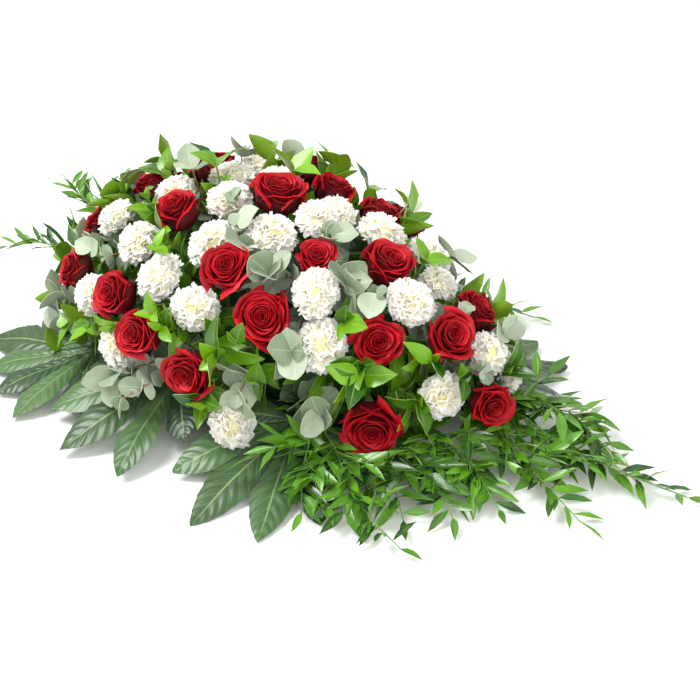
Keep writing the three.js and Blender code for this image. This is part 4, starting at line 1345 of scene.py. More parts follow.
@dataclass(frozen=True)
class CarnationPetal:
    """Carnation petal: thin, soft white that light shines through, creamier at its base: partly its own
    cream, partly painted warm shade.
    """

    # Yellower towards the petal's base: partly the petal's own cream, partly painted warm shade in the
    # bloom's depths
    cream_and_painted_shade: Stops = ((0.0, "ece0a2"), (0.34, "f6eec6"), (0.7, "fdf8e4"), (1.0, "fffdf6"))
    roughness: float = 0.6
    streaks: int = 26

    def material(self) -> Material:
        """Makes the material, with faint creases from base to rim, a little over 1 mm apart.

        Returns:
            The material.
        """
        s = Shader("carnation_petal")
        s.bump(s.streaks(self.streaks, 2), 0.3, 0.5)
        return s.finish(
            ramp(s.tree, s.along, self.cream_and_painted_shade),
            Roughness=self.roughness,
            Specular_IOR_Level=0.3,
            Subsurface_Weight=0.6,
            Subsurface_Scale=1.0,
            Subsurface_Radius=(0.005, 0.0048, 0.004),
        )


# How steeply a midrib and a side vein fade out sideways, and where a leaf's pale rim starts
RIB_FALL = 14.0
VEIN_FALL = 9.0
RIM_FROM = 0.93


class Veins(Enum):
    """How a leaf's side veins run."""

    PARALLEL = "parallel"
    FEATHERED = "feathered"


@dataclass(frozen=True)
class LeafSkin:
    """A leaf: the colours of its upper side, under side and veins, and its waxy gloss."""

    name: str
    top: str
    top_dark: str
    under: str
    vein: str
    veins: Veins
    vein_count: float
    roughness: float
    coat: float = 0.0
    vein_strength: float = 0.5
    rim: float = 0.0
    rib: float = 1.0
    slant: float = 0.16
    tone_size: float = 16.7
    cell_size: float = 1.11

    def _vein_mask(self, s: Shader) -> Socket:
        """Draws the midrib, the side veins and the pale rim by the blade's own coordinates.

        The midrib falls off in a straight line from the middle. Side veins are such lines at whole
        numbers of a phase, which runs across the blade, or along it with a slant outward.

        Args:
            s: the leaf's shader.

        Returns:
            The mask: 1 on a full vein and 0 off it.
        """
        tree = s.tree
        from_rib = maths(tree, "ABSOLUTE", maths(tree, "MULTIPLY_ADD", s.across, 2.0, -1.0))
        rib = maths(tree, "MAXIMUM", maths(tree, "MULTIPLY_ADD", from_rib, -RIB_FALL, 1.0), 0.0)
        way = s.across
        if self.veins is Veins.FEATHERED:
            way = maths(tree, "MULTIPLY_ADD", from_rib, -self.slant, s.along)
        wave = maths(tree, "PINGPONG", maths(tree, "MULTIPLY", way, self.vein_count), 0.5)
        line = maths(tree, "MAXIMUM", maths(tree, "MULTIPLY_ADD", wave, -VEIN_FALL, 1.0), 0.0)
        rib = maths(tree, "MULTIPLY", rib, self.rib)
        mask = maths(tree, "MAXIMUM", rib, maths(tree, "MULTIPLY", line, self.vein_strength))
        if self.rim:
            edge = maths(tree, "MULTIPLY", maths(tree, "SUBTRACT", from_rib, RIM_FROM), RIB_FALL)
            edge = maths(tree, "MULTIPLY", maths(tree, "MAXIMUM", edge, 0.0), self.rim)
            mask = maths(tree, "MAXIMUM", mask, edge)
        return mask

    def material(self) -> Material:
        """Makes the material: two greens in soft blotches, veins, and a relief of fine cells.

        The cells are drawn about 1 mm wide, coarser than real ones, so that they show.

        Returns:
            The material.
        """
        s = Shader(self.name)
        tree = s.tree
        mask = self._vein_mask(s)
        own_tone = maths(tree, "MULTIPLY", s.tint, 0.8)
        blotch = maths(tree, "MULTIPLY_ADD", s.blotches(self.tone_size, 3), 0.45, own_tone)
        share = ramp(tree, blotch, ((0.3, "000000"), (0.85, "ffffff")))
        base = mixed(tree, share, linear(self.top_dark), linear(self.top))
        top = mixed(tree, maths(tree, "MULTIPLY", mask, 0.75), base, linear(self.vein))
        colour = mixed(tree, s.side, top, linear(self.under))
        s.bump(maths(tree, "MULTIPLY_ADD", s.blotches(self.cell_size), 0.4, mask), 0.35, 0.6)
        return s.finish(
            colour,
            Roughness=self.roughness,
            Coat_Weight=self.coat,
            Coat_Roughness=0.25,
            Specular_IOR_Level=0.36,
            Subsurface_Weight=0.05,
            Subsurface_Radius=(0.001, 0.002, 0.0006),
        )


@dataclass(frozen=True)
class StemSkin:
    """A green or woody stem: satin, blotched over some 8 mm, with fibres under 1 mm in relief."""

    name: str
    light: str
    dark: str
    roughness: float = 0.5
    tone_size: float = 8.33
    fibre_size: float = 0.667

    def material(self) -> Material:
        """Makes the material, blotched along the stem.

        Returns:
            The material.
        """
        s = Shader(self.name)
        shade = ramp(s.tree, s.blotches(self.tone_size, 3), ((0.3, self.dark), (0.7, self.light)))
        s.bump(s.blotches(self.fibre_size), 0.2, 0.5)
        return s.finish(shade, Roughness=self.roughness)


@dataclass(frozen=True)
class WetFoam:
    """Phenolic flower foam: open cells, dull dark green when it is wet."""

    light: str = "35603f"
    dark: str = "1d3a25"
    grain_size: float = 1.11

    def material(self) -> Material:
        """Makes the material: grains about 1 mm across, as coarse as shows in the render.

        Returns:
            The material.
        """
        s = Shader("wet_flower_foam")
        grain = s.blotches(self.grain_size, 3)
        colour = ramp(s.tree, grain, ((0.3, self.dark), (0.7, self.light)))
        s.bump(grain, 0.8, 0.9)
        return s.finish(colour, Roughness=0.92, Specular_IOR_Level=0.2)


@dataclass(frozen=True)
class TrayPlastic:
    """Injection-moulded polypropylene: dark green, half matt from the mould's fine grain."""

    light: str = "1c2a1f"
    dark: str = "17241a"
    grain_size: float = 0.625
    tone_size: float = 33.3

    def material(self) -> Material:
        """Makes the material.

        Returns:
            The material.
        """
        s = Shader("moulded_polypropylene")
        s.bump(s.blotches(self.grain_size), 0.15, 0.4)
        shade = ramp(s.tree, s.blotches(self.tone_size), ((0.2, self.dark), (0.8, self.light)))
        return s.finish(shade, Roughness=0.48)


class Palette:
    """Every finish of the arrangement, made once."""

    def __init__(self) -> None:
        """Makes the materials."""
        self.rose = RosePetal().material()
        self.carnation = CarnationPetal().material()
        self.rose_stem = StemSkin("rose_stem", "4d6e33", "2e4a22").material()
        self.calyx = StemSkin("calyx", "7f9f62", "587a45").material()
        # Wax makes eucalyptus dull and grey, with faint veins and a pale rim
        self.eucalyptus = LeafSkin(
            "eucalyptus_leaf", top="adb8a1", top_dark="7a8c70", under="a8b39a", vein="c8ceb8",
            veins=Veins.FEATHERED, vein_count=9, roughness=0.5, vein_strength=0.14, rim=0.4, rib=0.6,
        ).material()  # fmt: skip
        self.eucalyptus_stem = StemSkin("eucalyptus_stem", "b08a6a", "8a5f48").material()
        # Broad ruscus is leathery and bright, and shines in long highlights
        self.broad_ruscus = LeafSkin(
            "broad_ruscus_leaf", top="6ea212", top_dark="174a07", under="77a026", vein="97bc40",
            veins=Veins.PARALLEL, vein_count=9, roughness=0.28, coat=0.4, vein_strength=0.22,
        ).material()  # fmt: skip
        self.ruscus_stem = StemSkin("ruscus_stem", "6fa03f", "4f7f2e").material()
        # Italian ruscus is thinner, deeper green and as glossy
        self.italian_ruscus = LeafSkin(
            "italian_ruscus_leaf", top="5c9422", top_dark="123a0e", under="6a9634", vein="7eaa44",
            veins=Veins.PARALLEL, vein_count=7, roughness=0.26, coat=0.45, vein_strength=0.2,
        ).material()  # fmt: skip
        # Aralia is dark with a satin shine and a pale midrib, and its mesh follows its side veins
        self.aralia = LeafSkin(
            "aralia_leaf", top="4b6a3e", top_dark="203722", under="567349", vein="94ad70",
            veins=Veins.FEATHERED, vein_count=11, slant=0, roughness=0.36, coat=0.22,
            vein_strength=0.22,
        ).material()  # fmt: skip
        self.aralia_stem = StemSkin("aralia_stem", "6d8f4f", "4f7038").material()
        self.foam = WetFoam().material()
        self.tray = TrayPlastic().material()


# Sub-assemblies


def settle(piece: Piece, node: str) -> None:
    """Rides a piece on the one body and lets it stand for its node.

    Args:
        piece: the piece.
        node: its node's name.
    """
    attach(piece, "root")
    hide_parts(node)


@dataclass
class RoseBloom:
    """One open rose: a wound heart, upright middle petals and rolled outer ones, on its stem."""

    name: str
    head: Head
    seed: int
    petals: int = 30
    across: int = 11
    along: int = 8
    petal_thickness: float = 0.35
    sepal_thickness: float = 0.6
    sepals: int = 5
    heart_radius: float = 0.045
    open_radius: float = 0.785
    cup_foot: float = -0.46
    rim_roll: float = 0.075
    roll_from: float = 0.72

    def petal_grids(self) -> Array:
        """The petals' grids.

        In the plane through the axis each petal runs from the cup's foot along a cubic Bezier
        curve to its crest, and then round a small arc that rolls the rim outward. Petals are a
        golden turn apart, and their radius grows evenly with their number. A petal's radius also
        grows from one edge to the other, so that each tucks under the next. Its rim is drawn to a
        point near the middle by a bell curve, and the whole cup is a little out of round.

        Returns:
            Points of shape (petals, across, along, 3).
        """
        rng = np.random.default_rng(self.seed)
        each = partial(rng.uniform, size=(self.petals, 1, 1))
        k = np.arange(self.petals)
        age = (k / (self.petals - 1))[:, None, None]
        turn = GOLDEN_TURN * k + rng.uniform(-0.12, 0.12, self.petals) + rng.uniform(0, PHASE_SPAN)
        u = np.linspace(1, -1, self.across)[None, :, None]
        v = np.linspace(0, 1, self.along)[None, None, :] ** 0.85
        radius = self.heart_radius + (self.open_radius - self.heart_radius) * age
        radius = radius * each(0.95, 1.05)
        crest = 0.66 + 0.1 * np.sin(math.pi * age**0.8) - 0.5 * np.clip(age - 0.5, 0, None) ** 1.3
        crest = crest + each(-0.03, 0.03)
        crest = crest - (0.14 + 0.2 * age) * np.abs(u) ** 3.2
        reach = 1.6 * (1 - age) ** 1.5 + 0.92
        width = reach * (0.4 + 0.6 * np.sin(math.pi / 2 * np.clip(v / 0.62, 0, 1)))
        # The cubic Bezier part
        b = np.clip(v / self.roll_from, 0, 1)
        c = 1 - b
        belly = 1.18 * radius + 0.06
        rho = 3 * b * c**2 * belly * 0.9 + 3 * b**2 * c * belly + b**3 * radius + 0.05 * c**3
        z = self.cup_foot * c**3 + 3 * b * c**2 * (self.cup_foot + 0.02)
        z = z + 3 * b**2 * c * (0.35 * crest) + b**3 * crest
        # The rolled rim
        past = np.clip((v - self.roll_from) / (1 - self.roll_from), 0, 1)
        sides = 0.66 + 0.8 * np.abs(u) ** 1.3
        curl = (0.5 + 1.2 * age) * sides * each(0.7, 1.2)
        roll = self.rim_roll * (0.5 + 1.3 * age)
        bend = curl * past
        rho = rho + roll * (1 - np.cos(bend)) * (1 + 0.5 * age)
        z = z + roll * np.sin(bend)
        phase = each(0, PHASE_SPAN)
        rho = rho * (1 + (0.03 + 0.04 * (1 - age)) * u)
        rho = rho + (0.008 + 0.02 * age) * np.sin(4.4 * u + phase) * v**6
        tip = each(-0.3, 0.3)
        point = (0.02 + 0.09 * age) * np.exp(-(((u - tip) / 0.24) ** 2)) * past
        rho = rho + point * np.sin(bend)
        z = z + 0.035 * np.sin(5 * u + 2 * phase) * v**4 + point * np.cos(bend)
        theta = turn[:, None, None] + u * width
        lean, pinch = rng.uniform(0, PHASE_SPAN, 2)
        rho = rho * (1 + 0.06 * np.sin(2 * theta + lean) + 0.04 * np.sin(3 * theta + pinch))
        outward = round_axis(self.head.aim, theta)[0]
        size = self.head.radius
        return placed(self.head.centre, (outward, rho * size), (self.head.aim, z * size))

    def sepal_grids(self) -> Array:
        """The narrow sepals, which bend down from under the cup along a parabola.

        Returns:
            Points of shape (sepals, across, along, 3).
        """
        first_turn = 0.3
        turn = first_turn + 2 * math.pi * np.arange(self.sepals)[:, None, None] / self.sepals
        u = np.linspace(-1, 1, 5)[None, :, None]
        v = np.linspace(0, 1, 7)[None, None, :]
        outward, sideways = round_axis(self.head.aim, turn)
        size = self.head.radius
        rho = size * (0.2 + 0.34 * v)
        z = size * (self.cup_foot - 0.1 * v - 0.3 * v**2)
        half = size * 0.13 * np.clip(np.sin(math.pi * (0.12 + 0.86 * v)), 0.06, 1)
        parts = ((outward, rho), (sideways, u * half), (self.head.aim, z))
        return placed(self.head.centre, *parts)

    def build(self, palette: Palette) -> Piece:
        """Builds the bloom with its hip, sepals and stem.

        Args:
            palette: the finishes.

        Returns:
            The piece.
        """
        store = MeshStore()
        rng = np.random.default_rng(self.seed + 7)
        store.add_sheets(self.petal_grids(), self.petal_thickness, 0, rng.uniform(0, 1, self.petals))
        store.add_sheets(self.sepal_grids(), self.sepal_thickness, 1)
        head = self.head
        size = head.radius
        heights = np.array([-1.0, -0.78, -0.66, -0.52, -0.42]) * size
        hip = head.centre + head.aim * heights[:, None]
        store.add_tube(hip, np.array([0.09, 0.13, 0.22, 0.26, 0.2]) * size, 8, 1)
        path = head.foot + (head.neck - head.foot) * np.linspace(0, 1, 5)[:, None]
        path = np.vstack([path, head.neck + head.aim * 4])
        store.add_tube(path, np.full(len(path), ROSE_STEM), 6, 1)
        return store.write(self.name, [palette.rose, palette.rose_stem])


@dataclass
class CarnationSpray:
    """Three carnations on one forked stem."""

    name: str
    heads: Sequence[Head]
    foot: Array
    fork: Array
    seed: int
    petals: int = 48
    across: int = 13
    along: int = 4
    petal_thickness: float = 0.4
    first_polar: float = -9.0
    polar_span: float = 112.0
    throat: float = 0.4
    flatness: float = 0.76
    oval: float = 0.1

    def petal_grids(self, head: Head, rng: np.random.Generator) -> Array:
        """One head's petals.

        Each petal is a fan that runs from the cup's throat to a dome, leans outward near its
        rim, and is thrown sideways by a wave that grows with a power of the way along. Its rim is
        cut into teeth. Every third petal is a short one that fills the dome. The dome is then
        flattened along its axis and drawn out a little across it.

        Args:
            head: the bloom.
            rng: the source of each petal's own turn and wave.

        Returns:
            Points of shape (petals, across, along, 3).
        """
        count = self.petals
        each = partial(rng.uniform, size=(count, 1, 1))
        k = np.arange(count) + 0.5
        polar = np.radians(self.first_polar + self.polar_span * (k / count) ** 0.56)[:, None, None]
        turn = (GOLDEN_TURN * k + rng.uniform(-0.3, 0.3, count))[:, None, None]
        u = np.linspace(-1, 1, self.across)[None, :, None]
        v = np.linspace(self.throat, 1, self.along)[None, None, :]
        outward, sideways = round_axis(head.aim, turn)
        ray = outward * np.sin(polar)[..., None] + head.aim * np.cos(polar)[..., None]
        lean = outward * np.cos(polar)[..., None] - head.aim * np.sin(polar)[..., None]
        age = (k / count)[:, None, None]
        tilt = rng.uniform(-1, 1, (count, 1, 1, 1)) * (0.22 + 1.2 * (1 - age) ** 1.5)[..., None]
        width_way = sideways * np.cos(tilt) + lean * np.sin(tilt)
        throw_way = lean * np.cos(tilt) - sideways * np.sin(tilt)
        size = head.radius
        notched = np.where(np.arange(self.across) % 2, 1, -1)[None, :, None]
        teeth = 1 + 0.04 * notched * (v > 0.95)
        short = np.where(np.arange(count) % 3 == 2, 0.9, 1.0)[:, None, None]
        first, second = rng.uniform(0, 2 * math.pi, 2)
        lumps = 0.96 + 0.05 * np.sin(2 * turn + first) + 0.05 * np.sin(3 * turn + second)
        reach = short * lumps * each(0.93, 1.02)
        reach = reach * (1 - 0.08 * u**2) * teeth
        waves = each(1.8, 2.9)
        phase = each(0, PHASE_SPAN)
        strength = each(0.6, 1.1) * (0.19 - 0.09 * age)
        throw = strength * np.sin(waves * u * 2.6 + phase) * v**1.6
        throw = throw + 0.04 * np.sin(9 * u + 3 * phase) * v**3
        bend = (0.3 + 0.5 * age * (1 - age)) * np.clip(v - self.throat, 0, None) ** 1.3
        half = 0.54 * v**0.9
        parts = ((ray, size * v * reach * 0.98), (width_way, size * half * u))
        away = placed(0, *parts, (throw_way, size * (throw + bend)), (head.aim, -0.3 * size * (1 - v)))
        oval = round_axis(head.aim, np.array(rng.uniform(0, math.pi)))[0]
        height = away @ head.aim
        sink = np.where(height > 0, (self.flatness - 1) * height, 0)
        return placed(head.centre + away, (oval, self.oval * (away @ oval)), (head.aim, sink))

    def build(self, palette: Palette) -> Piece:
        """Builds the heads, their calyxes and the forked stem.

        Args:
            palette: the finishes.

        Returns:
            The piece.
        """
        store = MeshStore()
        rng = np.random.default_rng(self.seed)
        for head in self.heads:
            tints = rng.uniform(0, 1, self.petals)
            store.add_sheets(self.petal_grids(head, rng), self.petal_thickness, 0, tints)
            heights = np.array([-1.06, -0.95, -0.6, -0.3, -0.18]) * head.radius
            calyx = head.centre + head.aim * heights[:, None]
            store.add_tube(calyx, np.array([0.1, 0.19, 0.25, 0.3, 0.33]) * head.radius, 8, 1)
            # The core has the petals' finish, and its top takes their yellowest stop: partly cream,
            # partly painted warm shade
            heights = np.array([0.44, 0.38, 0.28, 0.12, -0.1, -0.34]) * head.radius
            core = head.centre + head.aim * heights[:, None]
            store.add_tube(core, np.array([0.08, 0.36, 0.58, 0.74, 0.76, 0.44]) * head.radius, 12, 0)
            path = self.fork + (head.neck - self.fork) * np.linspace(0, 1, 5)[:, None]
            store.add_tube(path, np.full(len(path), CARNATION_STEM), 6, 1)
        add_stub(store, self.foot, self.fork)
        return store.write(self.name, [palette.carnation, palette.calyx])


def blade_grids(
    leaves: Sequence[Leaf], across: int, along: int, rng: np.random.Generator, wave: float, slim: float
) -> Array:
    """Grids of leaf blades.

    Each blade runs straight along its middle and arches down by the square of the way along. It
    is folded up from its midrib by a power of the way out, rolls a little to one side towards
    its tip, and its edge rises and falls in a sine wave.

    Args:
        leaves: the leaves.
        across: points from edge to edge.
        along: points from base to tip.
        rng: the source of each leaf's roll and wave.
        wave: the height of the edge's wave, as a share of the length.
        slim: the drawn width as a share of the planted one.

    Returns:
        Points of shape (leaves, across, along, 3).
    """
    each = partial(rng.uniform, size=(len(leaves), 1, 1))
    base, way, up, side = (
        np.array([getattr(leaf, part) for leaf in leaves])[:, None, None, :]
        for part in ("base", "along", "up", "side")
    )
    kind = leaves[0].kind
    length, half_width, bend, crease = np.array([
        (leaf.length, leaf.half_width, leaf.kind.arch, leaf.kind.fold) for leaf in leaves
    ]).T[..., None, None]
    t = 0.5 - 0.5 * np.cos(math.pi * np.linspace(0, 1, along))[None, None, :]
    u = np.linspace(1, -1, across)[None, :, None]
    share = slim * np.maximum(kind.form.drawn(t, each(0.5, 1.1)), 0.035)
    half = half_width * share * u + each(-0.07, 0.07) * length * t**2
    roll = each(-0.25, 0.25) + each(-0.6, 0.6) * t
    phase = each(0, PHASE_SPAN)
    ripple = wave * length * np.sin(2 * math.pi * 1.4 * t + phase + 1.5 * u)
    ripple = ripple * u**2 * np.sin(math.pi * t)
    arch = bend * each(0.5, 1.15) * length * t**2
    fold = crease * each(0.6, 2.2) * half_width * share * np.abs(u) ** 1.6
    lift = fold - arch + ripple
    turned_side = side * np.cos(roll)[..., None] + up * np.sin(roll)[..., None]
    return placed(base, (way, length * t), (up, lift), (turned_side, half))


@dataclass
class Branch:
    """What every branch has: its names, its rod from foot to fork, the planting and its seed."""

    name: str
    node: str
    foot: Array
    fork: Array
    planting: Planting
    seed: int


@dataclass
class LeafyBranch(Branch):
    """A forked branch of eucalyptus or broad ruscus: its twigs, their whorls and lower leaves."""

    kind_name: str
    sprigs: Sequence[Sprig]
    across: int = 9
    along: int = 9
    lower_across: int = 5
    lower_along: int = 8
    lower_step: float = 15.0
    first_steps: float = 1.9
    inner_share: float = 0.75
    pair_drop: float = 14.0
    leaf_drop: float = 8.0
    blade_thickness: float = 0.6
    blade_wave: float = 0.035

    def drawn_out(self, sprig: Sprig, rng: np.random.Generator) -> list[Leaf]:
        """The leaves of a whorl, each set a little further down the twig where it stays clear.

        Eucalyptus leaves go down by pairs and ruscus leaves one by one.

        Args:
            sprig: the twig with its whorl.
            rng: the source of each leaf's own turns.

        Returns:
            The leaves.
        """
        pairs = self.kind_name == "eucalyptus"
        leaves = []
        for n, leaf in enumerate(sprig.grown):
            drop = self.pair_drop * (n // 2) if pairs else self.leaf_drop * n
            around = self.planting.around(leaf.base, leaf.length, self.node, (), LOOSE_MARGIN)
            for share in (1.0, 0.5, 0.0):
                lowered = replace(leaf, base=leaf.base - sprig.aim * (drop * share))
                if share == 0 or self.planting.is_clear(lowered, around):
                    break
            leaves.append(self.planting.loosened(lowered, self.node, rng))
        return leaves

    def lower_leaves(self, sprig: Sprig) -> list[Leaf]:
        """Leaves further down a twig, by turns round it, where they clear the blooms.

        Args:
            sprig: the twig.

        Returns:
            The leaves.
        """
        kind = KINDS[self.kind_name]
        out = sprig.end - sprig.gate
        inner = (self.fork if sprig.root is None else sprig.root) - sprig.gate
        leaves: list[Leaf] = []
        distance = self.first_steps * self.lower_step
        on_twig = float(np.linalg.norm(out))
        total = float(on_twig + self.inner_share * np.linalg.norm(inner))
        k = 0
        while distance < total:
            if distance < on_twig:
                base = sprig.end - unit(out) * distance
                axis = unit(out)
            else:
                base = sprig.gate + unit(inner) * (distance - on_twig)
                axis = unit(-inner)
            for half_turn in (0, 180):
                size = sprig.length * (0.95 - 0.1 * (k % 2))
                leaf = self.planting.grow_leaf(
                    kind, base, axis, 90 * k + half_turn + 20, kind.lift + 10,
                    (size, size * kind.width), self.node, leaves[-1:], LOOSE_MARGIN,
                )  # fmt: skip
                if leaf:
                    leaves.append(leaf)
            distance += self.lower_step
            k += 1
        return leaves

    def build(self, palette: Palette) -> Piece:
        """Builds the branch's leaves and twigs.

        Args:
            palette: the finishes.

        Returns:
            The piece.
        """
        store = MeshStore()
        rng = np.random.default_rng(self.seed)
        is_round = self.kind_name == "eucalyptus"
        twig = 0.85 * TWIG if is_round else TWIG
        whorls: list[Leaf] = []
        lower: list[Leaf] = []
        for sprig in self.sprigs:
            # A twig with one leaf or none is left out
            if len(sprig.grown) < 2:
                continue
            (whorls if sprig.root is None else lower).extend(self.drawn_out(sprig, rng))
            lower += [self.planting.loosened(leaf, self.node, rng) for leaf in self.lower_leaves(sprig)]
            root = self.fork if sprig.root is None else sprig.root
            middle = sprig.gate + 0.5 * (sprig.end - sprig.gate)
            path = np.vstack([root, sprig.gate, middle, sprig.end])
            store.add_tube(path, np.array([1.1, 1.0, 0.9, 0.7]) * twig, 6, 1)
        slim = 1.0 if is_round else 0.94
        parts = ((whorls, self.across, self.along), (lower, self.lower_across, self.lower_along))
        for leaves, across, along in parts:
            grids = blade_grids(leaves, across, along, rng, self.blade_wave, slim)
            store.add_sheets(grids, self.blade_thickness, 0, rng.uniform(0, 1, len(leaves)))
        add_stub(store, self.foot, self.fork)
        if is_round:
            materials = [palette.eucalyptus, palette.eucalyptus_stem]
        else:
            materials = [palette.broad_ruscus, palette.ruscus_stem]
        return store.write(self.name, materials)


@dataclass
class TrailingBranch(Branch):
    """Trailing Italian ruscus: ribs from one fork, each with alternate leaflets."""

    trails: Sequence[Trail]
    across: int = 5
    along: int = 7
    slim: float = 0.84
    shoot_step: float = 27.0
    shoot_length: float = 66.0
    shoot_leaf: float = 46.0
    shoots_until: float = 0.6
    between_until: float = 0.82
    tip_share: float = 0.72
    inner_step: float = 13.0
    inner_leaf: float = 52.0
    lowest: float = 5.0
    blade_thickness: float = 0.5
    blade_wave: float = 0.025

    def shoots(self, trail: Trail, phase: float) -> tuple[list[Leaf], list[Array]]:
        """Short side shoots, by turns left and right, with leaflets on both sides.

        Args:
            trail: the stem that they grow from.
            phase: sets each stem's shoots apart from the next stem's.

        Returns:
            The leaflets, and the shoots' paths.
        """
        curve = Curve(trail.through)
        count = max(3, round(curve.lengths[-1] / self.shoot_step))
        bases, ahead, up, left = curve.stations(count + 1)
        leaves: list[Leaf] = []
        paths: list[Array] = []
        for n in range(round(self.shoots_until * count)):
            hand = 1 if n % 2 else -1
            c, s = cos_sin(40 + 14 * math.sin(2.3 * n + phase))
            flat = ahead[n] * c + left[n] * hand * s
            c, s = cos_sin(14 + 16 * math.sin(1.9 * n + phase))
            way = flat * c + up[n] * s
            reach = self.shoot_length * (1 - 0.45 * n / count)
            reach *= 0.85 + 0.15 * math.sin(5.1 * n + phase)
            start, tip = bases[n], bases[n] + way * reach - up[n] * 0.16 * reach
            through = np.array([start, start + way * reach * 0.5, tip])
            through[:, 2] = np.maximum(through[:, 2], self.lowest)
            if not self.planting.is_open(through):
                continue
            paths.append(through)
            stations = Curve(through, 40).stations(5)
            for m in range(1, 5):
                place = [part[m] for part in stations]
                for side in (0,) if m == 4 else (1, -1):
                    wave = 12 + 18 * math.sin(2.7 * m + 1.3 * n + phase)
                    size = self.shoot_leaf * (0.9 + 0.14 * math.sin(1.7 * m + n))
                    leaf = self.planting.grow_leaflet(place, side, wave, size, self.node)
                    if leaf:
                        leaves.append(leaf)
        return leaves, paths

    def inner_leaves(self, trail: Trail, phase: float) -> list[Leaf]:
        """Leaflets on both sides of the stretch between the fork and the start of a trail.

        Args:
            trail: the trail.
            phase: sets how each is raised.

        Returns:
            The leaflets.
        """
        start = trail.through[0]
        count = max(2, round(float(np.linalg.norm(start - self.fork)) / self.inner_step))
        places = Curve(np.array([self.fork, start])).stations(count + 1)
        leaves = []
        for n in range(count + 1):
            place = [part[n] for part in places]
            for hand in (1, -1):
                wave = 26 + 24 * math.sin(2.9 * n + phase + hand)
                leaf = self.planting.grow_leaflet(place, hand, wave, self.inner_leaf, self.node)
                if leaf:
                    leaves.append(leaf)
        return leaves

    def between_leaves(self, trail: Trail, phase: float) -> list[Leaf]:
        """More leaflets between those of the solid, on the other side of the rib from theirs.

        Args:
            trail: the trail.
            phase: sets how each is raised.

        Returns:
            The leaflets.
        """
        places = Curve(trail.through).stations(2 * trail.leaves + 1)
        leaves = []
        for n in range(2, round(2 * trail.leaves * self.between_until)):
            hand = 1 if (n // 2) % 2 == 0 else -1
            if n % 2:
                hand = -hand if n % 4 == 1 else hand
            wave = 20 + 18 * math.sin(1.7 * n + phase)
            place = [part[n] for part in places]
            size = trail.length * (0.86 + 0.12 * math.sin(3.1 * n + phase))
            leaf = self.planting.grow_leaflet(place, hand, wave, size, self.node)
            if leaf:
                leaves.append(leaf)
        return leaves

    def build(self, palette: Palette) -> Piece:
        """Builds the ribs and the leaflets.

        Args:
            palette: the finishes.

        Returns:
            The piece.
        """
        store = MeshStore()
        rng = np.random.default_rng(self.seed)
        leaves: list[Leaf] = []
        for i, trail in enumerate(self.trails):
            shrink = 1 - (1 - self.tip_share) * np.linspace(0, 1, len(trail.grown)) ** 2
            for leaf, share in zip(trail.grown, shrink):
                length, half_width = leaf.length * share, leaf.half_width * share
                leaves.append(replace(leaf, length=length, half_width=half_width))
            leaves += self.between_leaves(trail, 40 * i) + self.inner_leaves(trail, 40 * i)
            more, paths = self.shoots(trail, 40 * i)
            leaves += more
            for shoot in paths:
                store.add_tube(Curve(shoot, 40).stations(6)[0], np.linspace(0.8, 0.5, 6), 5, 1)
            path = np.vstack([self.fork, Curve(trail.through).stations(24)[0]])
            store.add_tube(path, np.linspace(TWIG, 0.7, len(path)), 6, 1)
        leaves = [self.planting.loosened(leaf, self.node, rng) for leaf in leaves]
        grids = blade_grids(leaves, self.across, self.along, rng, self.blade_wave, self.slim)
        store.add_sheets(grids, self.blade_thickness, 0, rng.uniform(0, 1, len(leaves)))
        add_stub(store, self.foot, self.fork)
        return store.write(self.name, [palette.italian_ruscus, palette.ruscus_stem])


